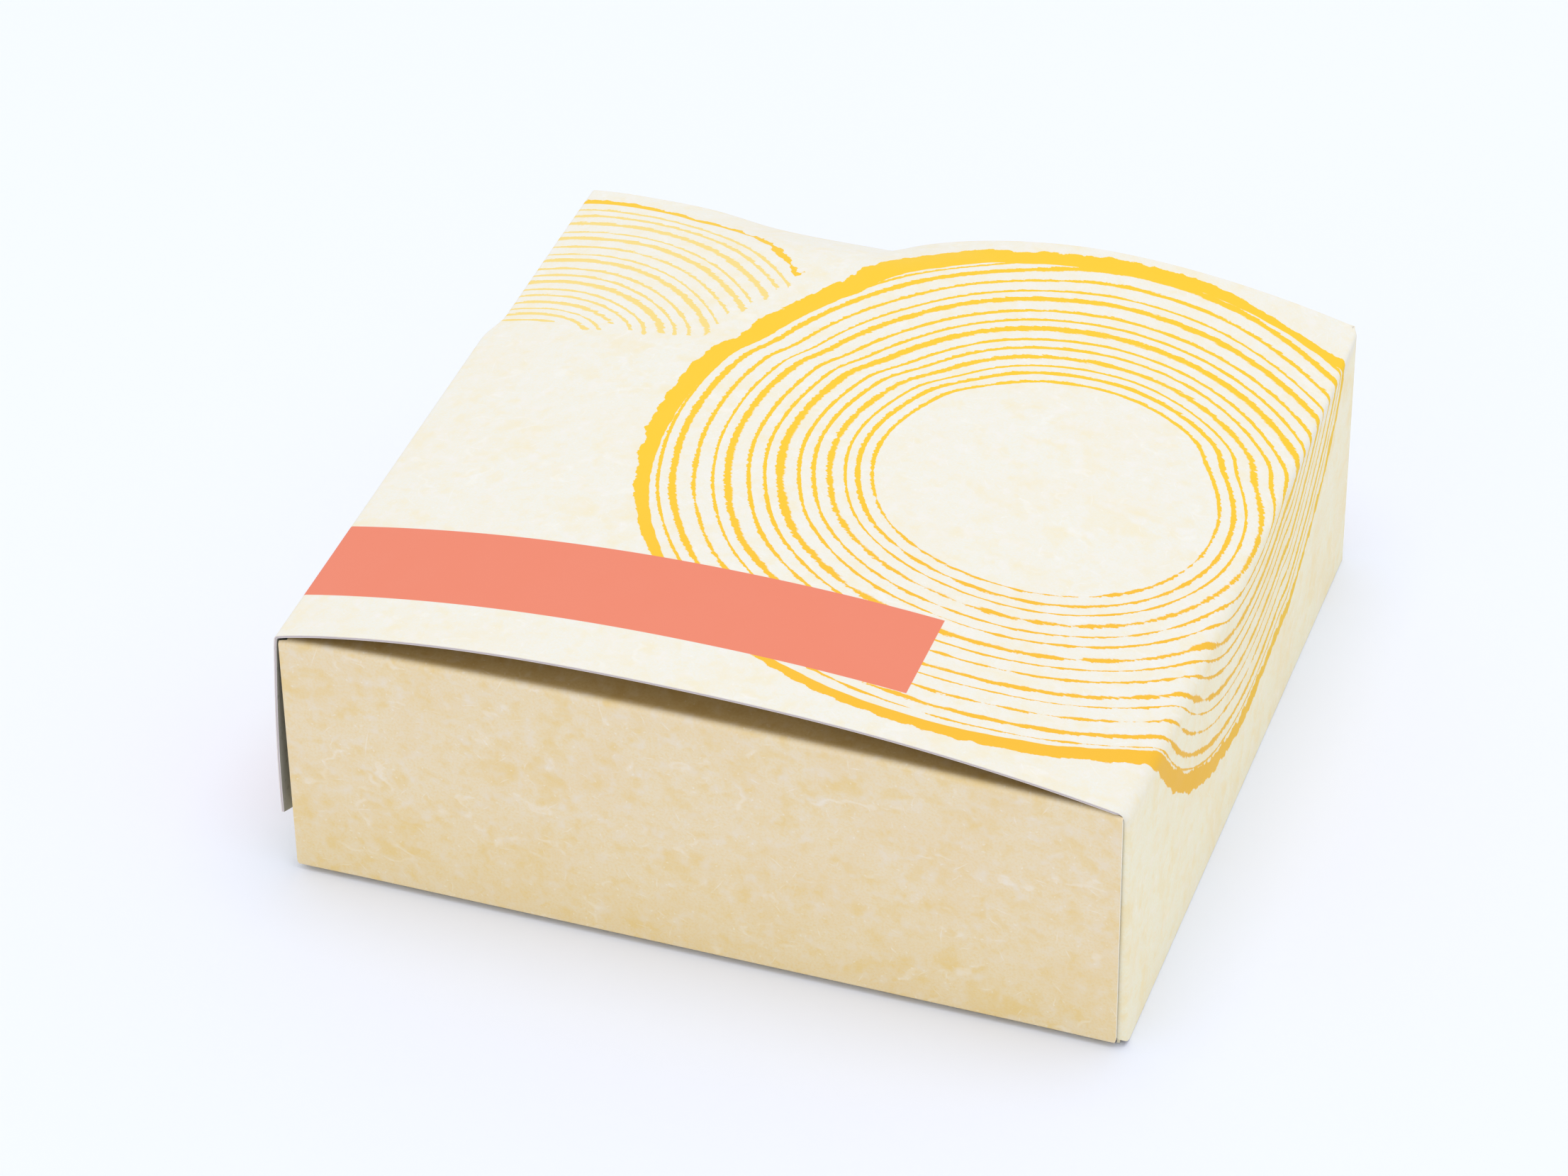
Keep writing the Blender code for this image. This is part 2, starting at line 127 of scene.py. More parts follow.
def fold_arc(
    corner: np.ndarray, to_start: np.ndarray, to_end: np.ndarray, radius: float, cells: int
) -> np.ndarray:
    """Points of a round fold between two straight runs of board that meet at a corner.

    Args:
        corner: Where the runs would meet, with the two coordinates on the last axis.
        to_start: Direction from the corner back along the first run.
        to_end: Direction from the corner on along the second run.
        radius: Radius of the board's outer face in the fold.
        cells: Number of cells round the fold.

    Returns:
        The points, with one row more than the cells on a new first axis.
    """
    start = unit(to_start)
    end = unit(to_end)
    half = 0.5 * np.arccos(np.clip((start * end).sum(-1, keepdims=True), -1.0, 1.0))
    centre = corner + unit(start + end) * (radius / np.sin(half))
    first = corner + start * (radius / np.tan(half)) - centre
    last = corner + end * (radius / np.tan(half)) - centre
    turn = np.arctan2(first[..., 0] * last[..., 1] - first[..., 1] * last[..., 0], (first * last).sum(-1))
    points = []
    for step in range(cells + 1):
        angle = turn * step / cells
        across = first[..., 0] * np.cos(angle) - first[..., 1] * np.sin(angle)
        up = first[..., 0] * np.sin(angle) + first[..., 1] * np.cos(angle)
        points.append(centre + np.stack((across, up), axis=-1))
    return np.stack(points)


@dataclass(frozen=True)
class CartonForm:
    """Sizes that the carton's boards share, and the height of its arched top."""

    panel_width: float = 156.0
    depth: float = 153.0
    wall_height: float = 53.25
    board: float = 0.5
    gap: float = 0.3
    left_edge_front: float = -0.7
    left_edge_back: float = 1.2
    left_edge_rise: float = 0.4
    left_edge_drop: float = 0.1
    kink_start: float = 98.5
    kink_end: float = 106.5
    left_wall_behind: float = 0.9
    right_crease: float = 157.1
    right_belly: float = 0.5
    right_back_out: float = 0.7
    right_back_start: float = 70.0
    right_crease_drop: float = 0.2
    right_crease_rise: float = 0.9
    front_arch_rise: float = 7.45
    front_arch_peak: float = 0.468
    front_arch_fullness: float = 2.3
    bulge_start: float = 65.0
    bulge_rise: float = 8.3
    bulge_peak: float = 0.44
    bulge_fullness: float = 1.85
    back_dip: float = 1.2
    ripple_rise: float = 1.4
    ripple_middle: float = 17.0
    ripple_half_width: float = 18.0
    middle_drop: float = 0.95
    middle_arch_rise: float = 8.12
    middle_arch_peak: float = 0.498
    middle_arch_fullness: float = 2.11
    front_lip: float = 21.5
    back_lip: float = 21.0

    def left_edge(self, y: Number) -> Number:
        """Outer x of the top's left fold, with its kink."""
        return mix(self.left_edge_front, self.left_edge_back, ease(self.kink_start, self.kink_end, y))

    def left_wall(self, y: Number) -> Number:
        """Outer x of the left wall behind the flap."""
        return self.left_edge(y) + self.left_wall_behind

    def right_edge(self, y: Number) -> Number:
        """Outer x of the crease between the top and the right wall."""
        belly = self.right_belly * np.sin(np.pi * np.clip(y / self.depth, 0.0, 1.0))
        return self.right_crease + belly + self.right_back_out * ease(self.right_back_start, self.depth, y)

    def straight(self, x: Number, left: float, left_rise: float, right_rise: float) -> tuple[Number, Number]:
        """Straight line over the top's width, on which an arch stands.

        Args:
            x: Place from left to right.
            left: Where the left fold lies there.
            left_rise: Rise of the line above the wall height at the left fold.
            right_rise: Its rise at the right crease.

        Returns:
            How far over the place lies, as a share of the width, and the line's rise there.
        """
        across = (x - left) / (self.right_crease - left)
        return across, mix(left_rise, right_rise, across)

    def front_rise(self, x: Number) -> Number:
        """Rise of the top above the wall height along its front edge."""
        across, line = self.straight(x, self.left_edge_front, self.left_edge_rise, -self.right_crease_drop)
        return line + self.front_arch_rise * arch(across, self.front_arch_peak, self.front_arch_fullness)

    def middle_rise(self, x: Number) -> Number:
        """Rise of the top above the wall height away from its free edges."""
        across, line = self.straight(x, self.left_edge_front, self.left_edge_rise, -self.middle_drop)
        return line + self.middle_arch_rise * arch(across, self.middle_arch_peak, self.middle_arch_fullness)

    def back_rise(self, x: Number) -> Number:
        """Rise of the top above the wall height along its back edge.

        Args:
            x: Place from left to right.

        Returns:
            The rise: a ripple near the left fold, a sag beside it, and a high bulge to the right.
        """
        line = self.straight(x, self.left_edge_back, -self.left_edge_drop, self.right_crease_rise)[1]
        ripple = self.ripple_rise * np.exp(-(((x - self.ripple_middle) / self.ripple_half_width) ** 4))
        sag = -self.back_dip * ease(self.ripple_middle, self.ripple_middle + 2.0 * self.ripple_half_width, x)
        sag = sag * (1.0 - ease(self.bulge_start, self.right_crease, x))
        bulge = (x - self.bulge_start) / (self.right_crease - self.bulge_start)
        return line + ripple + sag + self.bulge_rise * arch(bulge, self.bulge_peak, self.bulge_fullness)

    def lid_height(self, x: Number, y: Number) -> Number:
        """Height of the top's outer face: one broad arch that changes near both free edges.

        Args:
            x: Place from left to right.
            y: Place from front to back.

        Returns:
            The height above the floor.
        """
        middle = self.middle_rise(x)
        at_front = (self.front_rise(x) - middle) * (1.0 - settle(y, self.front_lip))
        at_back = (self.back_rise(x) - middle) * (1.0 - settle(self.depth - y, self.back_lip))
        return self.wall_height + middle + at_front + at_back


@dataclass(frozen=True)
class Atlas:
    """Where a board's faces lie in its one square texture, each on a place of its own.

    Attributes:
        low: Lowest corner of the flat board, in millimetres.
        spread: Size of the flat board, in millimetres.
        turned: Whether the board lies turned by a quarter.
        edge: Free edge of the square, as a share of it.
        liner_scale: Size of the unprinted face beside the printed one.
        liner_gap: Free strip beside the unprinted face.
        rim_columns: Number of cells across, for the board's cut edges.
        rim_fill: Share of its cell that each face of a cut edge takes.
    """

    low: tuple[float, float]
    spread: tuple[float, float]
    turned: bool
    edge: float = 0.004
    liner_scale: float = 0.45
    liner_gap: float = 0.03
    rim_columns: int = 40
    rim_fill: float = 0.85

    @property
    def scale(self) -> float:
        """Share of the square that a millimetre takes."""
        return (1.0 - 2.0 * self.edge) / self.spread[int(self.turned)]

    @property
    def top(self) -> float:
        """Height in the square above which the unprinted face and the cut edges lie."""
        return self.spread[1 - int(self.turned)] * self.scale + 3.0 * self.edge

    def place(self, flat: np.ndarray, ply: Ply) -> np.ndarray:
        """Places in the square of points on one of the flat board's faces.

        Args:
            flat: The points, in the flat board's millimetres.
            ply: The printed or the unprinted face.

        Returns:
            Their places, from 0 to 1 each way.
        """
        placed = (flat - np.array(self.low)) * self.scale
        if self.turned:
            placed = placed[..., ::-1]
        if ply is Ply.LINER:
            return placed * self.liner_scale + (self.edge, self.top)
        return placed + self.edge

    def rim(self, number: int, count: int) -> np.ndarray:
        """Corners of the small cell of one face of the cut edge.

        Args:
            number: Which of the cut edge's faces it is.
            count: How many of them there are.

        Returns:
            Its four corners in the square.
        """
        low = np.array((self.liner_scale + self.liner_gap, self.top))
        cell = (1.0 - self.edge - low) / (self.rim_columns, math.ceil(count / self.rim_columns))
        start = low + cell * (number % self.rim_columns, number // self.rim_columns)
        fill = self.rim_fill
        return start + cell * ((fill, 0.0), (0.0, 0.0), (0.0, fill), (fill, fill))


@dataclass
class BoardSheet:
    """A grid of points on a folded board's outer face, made into a closed board of real thickness.

    The grid's rows and columns run so that a step along the rows crossed with one along the columns
    points out of the board.

    Attributes:
        name: Name of the piece.
        places: Points of the outer face, rows by columns by three, in the carton's millimetres.
        flat: The same points on the flat board, rows by columns by two, in millimetres.
        present: Which cells between the points hold board.
        thickness: Thickness of the board.
        turned: Whether the flat board lies turned by a quarter in its atlas.
    """

    name: str
    places: np.ndarray
    flat: np.ndarray
    present: np.ndarray
    thickness: float
    turned: bool = False

    # Angle in degrees from which the mesh is shaded as a sharp edge.
    SHARP_FOLD = 40.0

    def corners(self, row: int, column: int) -> tuple[tuple[int, int], ...]:
        """Rows and columns of a cell's four points, in the order that makes its face look outwards."""
        return (row, column), (row + 1, column), (row + 1, column + 1), (row, column + 1)

    def gather(self, values: np.ndarray, total: np.ndarray) -> np.ndarray:
        """Add each cell's value to the points at its four corners.

        Args:
            values: One value for each cell.
            total: What each point has so far, which is added to in place.

        Returns:
            The total.
        """
        for down in (0, 1):
            for along in (0, 1):
                rows = slice(down, total.shape[0] - 1 + down)
                columns = slice(along, total.shape[1] - 1 + along)
                total[rows, columns] += values
        return total

    def outward(self) -> np.ndarray:
        """Work out which way the outer face looks.

        Returns:
            The mean outward direction at each point of the grid.
        """
        lean = self.places[1:, 1:] - self.places[:-1, :-1]
        rise = self.places[:-1, 1:] - self.places[1:, :-1]
        facing = np.cross(lean, rise) * self.present[..., None]
        return unit(self.gather(facing, np.zeros_like(self.places)))

    def rims(self) -> list[tuple[tuple[int, int], tuple[int, int]]]:
        """Find the edges with board on one side only.

        Returns:
            For each, the row and column of its first and of its second point.
        """
        edges = []
        padded = np.pad(self.present, 1)
        for row, column in np.argwhere(self.present):
            corners = self.corners(row, column)
            beside = ((row, column - 1), (row + 1, column), (row, column + 1), (row - 1, column))
            for side, (across, along) in enumerate(beside):
                if not padded[across + 1, along + 1]:
                    edges.append((corners[side], corners[(side + 1) % 4]))
        return edges

    def build(self) -> bpy.types.Object:
        """Make the closed board, with its plies as material slots and both of its maps.

        Returns:
            The piece, in the frame's metres.
        """
        used = self.gather(self.present.astype(int), np.zeros(self.places.shape[:2], int)) > 0
        number = np.cumsum(used).reshape(used.shape) - 1
        count = int(used.sum())
        outer = self.places[used]
        inner = (self.places - self.outward() * self.thickness)[used]
        flat = self.flat[used]
        low = flat.min(axis=0)
        atlas = Atlas(tuple(low), tuple(flat.max(axis=0) - low), self.turned)
        on_print = atlas.place(flat, Ply.PRINTED)
        on_liner = atlas.place(flat, Ply.LINER)

        faces: list[tuple[int, ...]] = []
        slots: list[int] = []
        maps: list[np.ndarray] = []
        for row, column in np.argwhere(self.present):
            ring = tuple(int(number[corner]) for corner in self.corners(row, column))
            back = ring[::-1]
            faces += [ring, tuple(point + count for point in back)]
            slots += [Ply.PRINTED, Ply.LINER]
            maps += [on_print[list(ring)], on_liner[list(back)]]
        rims = self.rims()
        for place, (start, end) in enumerate(rims):
            first, second = int(number[start]), int(number[end])
            faces.append((second, first, first + count, second + count))
            slots.append(Ply.CUT_EDGE)
            maps.append(atlas.rim(place, len(rims)))

        origin = np.array(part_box("base_strip")[0])
        mesh = bpy.data.meshes.new(self.name)
        mesh.from_pydata((np.concatenate((outer, inner)) * MM + origin).tolist(), [], faces)
        mesh.polygons.foreach_set("material_index", slots)
        corners = np.empty(len(mesh.loops), np.int32)
        mesh.loops.foreach_get("vertex_index", corners)
        flat_map = mesh.uv_layers.new(name=FLAT_MAP)
        flat_map.data.foreach_set("uv", np.concatenate((flat, flat))[corners].astype(np.float32).ravel())
        atlas_map = mesh.uv_layers.new(name=ATLAS_MAP)
        atlas_map.data.foreach_set("uv", np.concatenate(maps).astype(np.float32).ravel())
        ply = mesh.attributes.new(PLY, "FLOAT", "POINT")
        ply.data.foreach_set("value", np.repeat((0.0, 1.0), count).astype(np.float32))
        mesh.shade_smooth()
        mesh.set_sharp_from_angle(angle=math.radians(self.SHARP_FOLD))
        piece = bpy.data.objects.new(self.name, mesh)
        bpy.context.scene.collection.objects.link(piece)
        return piece


@dataclass
class WrapBoard:
    """The board of left flap, arched top and right wall, whose ends turn in behind the end panels."""

    form: CartonForm
    left_fold: float = 1.0
    right_fold: float = 3.0
    right_fold_back: float = 0.9
    right_fold_change: float = 50.0
    flap_drop: float = 43.0
    flap_corner_drop: float = 40.8
    flap_corner: float = 4.8
    stand_off_top: float = 0.1
    stand_off_foot: float = 1.9
    flap_set_back: float = 0.6
    wall_foot: float = 157.65
    foot_clearance: float = 0.08
    corner_lift: float = 1.6
    corner_reach: float = 3.5
    wall_end_fold: float = 1.0
    wall_return: float = 7.0
    return_foot: float = 2.1
    return_drop: float = 3.0
    flap_cells: int = 20
    fold_cells: int = 8
    lid_cells: int = 110
    wall_cells: int = 26
    depth_cells: int = 104

    # Where the columns of the turned-in ends lie, as shares of their length from the fold.
    RETURN_STEPS = (1.0, 0.75, 0.5, 0.25, 0.1)
    # Share of the board's thickness within which two distances along it count as the same.
    SLACK = 0.1

    @property
    def end_plane(self) -> float:
        """Distance of the turned-in ends' outer face behind the end panels' faces."""
        return self.form.board + self.form.gap

    @property
    def half_fold(self) -> float:
        """Half the length of board in the fold round which an end turns in."""
        return 0.25 * math.pi * self.wall_end_fold

    def flap_points(self, y: float) -> np.ndarray:
        """Points of the left flap at one y, from its free edge up to just under the fold.

        Args:
            y: Place from front to back.

        Returns:
            Its outer points (x, z).
        """
        steps = np.arange(self.flap_cells + 1) / self.flap_cells
        past_corner = min(1.0, min(y, self.form.depth - y) / self.flap_corner)
        longest = mix(self.flap_corner_drop, self.flap_drop, past_corner)
        drop = np.maximum(longest * (1.0 - steps), self.left_fold)
        swing = np.sin(0.5 * np.pi * drop / longest)
        out = mix(self.stand_off_top, self.stand_off_foot, swing)
        return np.stack((self.form.left_edge(y) - out, self.form.wall_height - drop), axis=-1)

    def profile(self, y: float) -> np.ndarray:
        """Points of the board at one y, from the left flap over the top and down the right wall.

        Args:
            y: Place from front to back.

        Returns:
            Its outer points (x, z).
        """
        form = self.form
        left = float(form.left_edge(y))
        right = float(form.right_edge(y))
        left_corner = np.array((left, form.lid_height(left, y)))
        right_corner = np.array((right, form.lid_height(right, y)))
        inner_left = left + 2.0 * self.left_fold
        changed = ease(self.right_fold_change, form.depth, y)
        right_fold = float(mix(self.right_fold, self.right_fold_back, changed))
        inner_right = right - 2.0 * right_fold
        onto_lid = np.array((inner_left, form.lid_height(inner_left, y))) - left_corner
        off_lid = np.array((inner_right, form.lid_height(inner_right, y))) - right_corner
        lifted = self.corner_lift * (1.0 - ease(0.0, self.corner_reach, y))
        foot = np.array((self.wall_foot, self.foot_clearance + lifted))
        flap = self.flap_points(y)
        left_arc = fold_arc(left_corner, flap[-2] - flap[-1], onto_lid, self.left_fold, self.fold_cells)
        right_arc = fold_arc(right_corner, off_lid, foot - right_corner, right_fold, self.fold_cells)
        x = np.linspace(left_arc[-1][0], right_arc[0][0], self.lid_cells + 1)[1:-1]
        lid = np.stack((x, form.lid_height(x, y)), axis=-1)
        down = np.arange(1, self.wall_cells + 1)[:, None] / self.wall_cells
        wall = mix(right_arc[-1], foot, down)
        return np.concatenate((flap[:-1], left_arc, lid, right_arc, wall))

    def stations(self) -> tuple[np.ndarray, float, float]:
        """Distances along the wall and its turned-in ends, measured from the front fold's middle.

        Returns:
            The distances, and those of the top's front and back edges.
        """
        half = self.half_fold
        front = half - self.wall_end_fold - self.end_plane
        back = front + self.form.depth
        ends = front + back
        bend = np.linspace(front, half, self.fold_cells, endpoint=False)
        ahead = front - self.wall_return * np.array(self.RETURN_STEPS)
        middle = np.linspace(half, ends - half, self.depth_cells + 1)
        near = np.concatenate((ahead, bend))
        return np.concatenate((near, middle, (ends - near)[::-1])), front, back

    def turned_in(self, x: np.ndarray, distance: float) -> tuple[np.ndarray, float]:
        """Turn the wall in round its front end.

        Args:
            x: Outer x of the wall's points.
            distance: Distance along the board from the fold's middle.

        Returns:
            The x of the points there, and their y.
        """
        radius, half = self.wall_end_fold, self.half_fold
        if distance >= half:
            return x, self.end_plane + radius + distance - half
        if distance <= -half:
            return x - radius - (-half - distance), self.end_plane
        turn = (half - distance) / radius
        return x - radius * (1.0 - math.cos(turn)), self.end_plane + radius * (1.0 - math.sin(turn))

    def sheet(self) -> BoardSheet:
        """The board's outer face, folded and flat.

        Returns:
            A sheet whose rows run over the carton from left to right, and whose columns run to the back.
        """
        stations, front, back = self.stations()
        depth = self.form.depth
        slack = self.SLACK * self.form.board
        rows = self.flap_cells + 2 * (self.fold_cells + 1) + self.lid_cells - 1 + self.wall_cells
        wall_start = rows - 1 - self.wall_cells
        row = np.arange(rows)
        turned = np.clip((row - (wall_start - self.fold_cells)) / self.fold_cells, 0.0, 1.0)
        set_back = self.flap_set_back * np.clip(1.0 - row / self.flap_cells, 0.0, 1.0)
        places = np.empty((rows, len(stations), 3))
        flat = np.empty((rows, len(stations), 2))
        for column, station in enumerate(stations):
            y = min(depth, max(0.0, station - front))
            points = self.profile(y)
            x, z = points[:, 0], points[:, 1]
            if station <= 0.5 * (front + back):
                bent_x, bent_y = self.turned_in(x, station)
            else:
                bent_x, from_back = self.turned_in(x, front + back - station)
                bent_y = depth - from_back
            if not front - slack < station < back + slack:
                z = np.clip(z, self.return_foot, self.form.wall_height - self.return_drop)
            places[:, column, 0] = mix(x, bent_x, turned)
            places[:, column, 1] = mix(mix(set_back, depth - set_back, y / depth), bent_y, turned)
            places[:, column, 2] = z
            along = distance_along(points)
            flat[:, column, 0] = along - along[self.flap_cells + self.fold_cells // 2]
            flat[:, column, 1] = station - front
        present = np.ones((rows - 1, len(stations) - 1), bool)
        present[:wall_start] = (stations[:-1] > front - slack) & (stations[1:] < back + slack)
        return BoardSheet("wrap_board", places, flat, present, self.form.board)


@dataclass
class BaseStrip:
    """The board of the base, the two end panels and their tuck flaps under the top."""

    form: CartonForm
    top_fold: float = 1.1
    base_fold: float = 0.6
    edge_proud: float = 0.2
    corner_start: float = 1.3
    base_inset: float = 1.0
    end_lift: float = 1.0
    base_lift: float = 1.14
    lift_reach: float = 18.0
    base_sag: float = 24.0
    tuck_depth: float = 24.0
    tuck_inset: float = 1.5
    tuck_corner: float = 6.0
    front_fold_lift: float = 2.3
    front_fold_peak: float = 0.45
    back_fold_lift: float = 1.0
    back_fold_peak: float = 0.55
    fold_fullness: float = 2.0
    shadow_gap: float = 1.05
    corner_gap: float = 0.75
    corner_rise: float = 0.65
    tuck_cells: int = 20
    fold_cells: int = 14
    panel_cells: int = 36
    corner_cells: int = 10
    base_cells: int = 60
    width_cells: int = 110

    # Power by which the tuck flaps' corners are rounded.
    TUCK_ROUNDING = 8
    # Shares of the way round the top fold between which the tuck flap's inset runs out.
    INSET_RUN_OUT = (0.25, 0.45)

    def from_front(self, inwards: Number, end: End) -> Number:
        """Place from front to back of what lies a distance inwards of an end panel's face."""
        return inwards if end is End.FRONT else self.form.depth - inwards

    def across(self, inset: float, y: float) -> np.ndarray:
        """Where a row's points lie from left to right.

        Args:
            inset: How far the strip's side edges stand in.
            y: Place of the row from front to back.

        Returns:
            The x of each column.
        """
        share = np.arange(self.width_cells + 1) / self.width_cells
        left = self.form.left_wall(y) - self.edge_proud + inset
        return mix(left, self.form.panel_width - inset, share)

    def base_height(self, x: Number) -> Number:
        """How far the base's folds stand clear of the floor."""
        from_side = np.minimum(x, self.form.panel_width - x)
        return mix(self.end_lift, self.base_lift, ease(0.0, self.lift_reach, from_side))

    def fold_height(self, x: Number, end: End) -> Number:
        """Height of an end panel's top fold, bowed up in the middle and just below the top's edge.

        Args:
            x: Place from left to right.
            end: Which end of the carton.

        Returns:
            The height above the floor.
        """
        lift, peak = self.front_fold_lift, self.front_fold_peak
        if end is End.BACK:
            lift, peak = self.back_fold_lift, self.back_fold_peak
        bowed = mix(self.corner_rise, lift, arch(x / self.form.panel_width, peak, self.fold_fullness))
        level = self.form.wall_height - self.shadow_gap + bowed
        return np.minimum(level, self.form.lid_height(x, self.from_front(0.0, end)) - self.corner_gap)

    def tuck_height(self, x: Number, inwards: float, end: End) -> Number:
        """Height of a tuck flap's upper face, which rises to lie close under the top.

        Args:
            x: Place from left to right.
            inwards: Distance from the end panel's face.
            end: Which end of the carton.

        Returns:
            The height above the floor.
        """
        lid = self.form.lid_height(x, self.from_front(inwards, end))
        under_lid = lid - self.form.board - self.form.gap
        share = ease(self.top_fold, self.tuck_depth, inwards)
        return np.minimum(mix(self.fold_height(x, end), under_lid, share), under_lid)

    def top_arc(self, x: np.ndarray, end: End) -> np.ndarray:
        """Points round the top fold of an end panel, from its tuck flap to its face.

        Args:
            x: Place of each column from left to right.
            end: Which end of the carton.

        Returns:
            The points (inwards, up), with the steps round the fold on the first axis.
        """
        beyond = self.top_fold + (self.tuck_depth - self.top_fold) / self.tuck_cells
        to_tuck = self.on_tuck(x, beyond, end) - self.on_tuck(x, self.top_fold, end)
        corner = np.stack((np.zeros_like(x), self.fold_height(x, end)), axis=-1)
        down = np.broadcast_to(np.array((0.0, -1.0)), corner.shape)
        return fold_arc(corner, to_tuck, down, self.top_fold, self.fold_cells)

    def on_tuck(self, x: np.ndarray, inwards: float, end: End) -> np.ndarray:
        """Points (inwards, up) of a tuck flap at a distance from the end panel's face."""
        return np.stack((np.full_like(x, inwards), self.tuck_height(x, inwards, end)), axis=-1)

    def on_fold(self, x: np.ndarray, step: int, end: End) -> np.ndarray:
        """Points (inwards, up) at one step round the top fold."""
        return self.top_arc(x, end)[step]

    def on_face(self, x: np.ndarray, share: float, end: End) -> np.ndarray:
        """Points (inwards, up) at a share of the way down an end panel, to its rounded corners."""
        height = mix(self.top_arc(x, end)[-1][..., 1], self.base_height(x) + self.corner_start, share)
        return np.stack((np.zeros_like(x), height), axis=-1)

    def by_base(self, x: np.ndarray, inwards: float, height: float) -> np.ndarray:
        """Points (inwards, up) at a height above the base's folds."""
        return np.stack((np.full_like(x, inwards), self.base_height(x) + height), axis=-1)

    def corner_inset(self, share: float) -> float:
        """How far an end panel's side edge stands in, at a share of the way round its lower corner."""
        return self.base_inset * (1.0 - math.sqrt(max(0.0, 1.0 - share * share)))

    def end_rows(self, end: End) -> list[tuple[float, Points]]:
        """Rows of one end of the strip, from its tuck flap's free edge to the base.

        Args:
            end: Which end of the carton.

        Returns:
            For each row, how far its side edges stand in, and its points (inwards, up) for given x.
        """
        rows: list[tuple[float, Points]] = []
        for step in range(self.tuck_cells):
            share = step / self.tuck_cells
            rounded = 1.0 - math.sqrt(1.0 - (1.0 - share) ** self.TUCK_ROUNDING)
            inwards = mix(self.tuck_depth, self.top_fold, share)
            on_tuck = partial(self.on_tuck, inwards=inwards, end=end)
            rows.append((self.tuck_inset + self.tuck_corner * rounded, on_tuck))
        for step in range(self.fold_cells + 1):
            share = float(ease(*self.INSET_RUN_OUT, step / self.fold_cells))
            rows.append((self.tuck_inset * (1.0 - share), partial(self.on_fold, step=step, end=end)))
        for step in range(1, self.panel_cells):
            rows.append((0.0, partial(self.on_face, share=step / self.panel_cells, end=end)))
        for step in range(self.corner_cells):
            share = step / self.corner_cells
            height = mix(self.corner_start, self.base_fold, share)
            rows.append((self.corner_inset(0.5 * share), partial(self.by_base, inwards=0.0, height=height)))
        upright, level = np.array((0.0, 1.0)), np.array((1.0, 0.0))
        arc = fold_arc(np.zeros(2), upright, level, self.base_fold, self.corner_cells)
        for step, (inwards, height) in enumerate(arc):
            inset = self.corner_inset(0.5 + 0.5 * step / self.corner_cells)
            rows.append((inset, partial(self.by_base, inwards=float(inwards), height=float(height))))
        return rows

    def end_points(self, end: End) -> list[np.ndarray]:
        """Points of one end of the strip, from its tuck flap's free edge to the base.

        Args:
            end: Which end of the carton.

        Returns:
            The points of each row, from left to right.
        """
        middle = np.array((0.5 * self.form.panel_width,))
        rows = []
        for inset, points in self.end_rows(end):
            x = self.across(inset, self.from_front(float(points(middle)[0, 0]), end))
            at = points(x)
            rows.append(np.stack((x, self.from_front(at[:, 0], end), at[:, 1]), axis=-1))
        return rows

    def base_points(self) -> list[np.ndarray]:
        """Points of the base between its folds, which sags to the floor away from them.

        Returns:
            The points of each row, from left to right.
        """
        depth = self.form.depth
        rows = []
        for step in range(1, self.base_cells):
            y = mix(self.base_fold, depth - self.base_fold, step / self.base_cells)
            x = self.across(self.base_inset, y)
            from_end = min(y, depth - y) - self.base_fold
            height = self.base_height(x) * (1.0 - ease(0.0, self.base_sag, from_end))
            rows.append(np.stack((x, np.full_like(x, y), height), axis=-1))
        return rows

    def sheet(self) -> BoardSheet:
        """The strip's outer face, folded and flat.

        Returns:
            A sheet whose rows run from the front tuck flap under the base to the back one, and whose
            columns run to the right.
        """
        front, back = self.end_points(End.FRONT), self.end_points(End.BACK)
        places = np.stack(front + self.base_points() + back[::-1])
        along = distance_along(places[:, self.width_cells // 2])
        flat = np.stack((places[..., 0], np.broadcast_to(along[:, None], places.shape[:2])), axis=-1)
        present = np.ones((len(places) - 1, self.width_cells), bool)
        return BoardSheet("base_board", places, flat, present, self.form.board, turned=True)


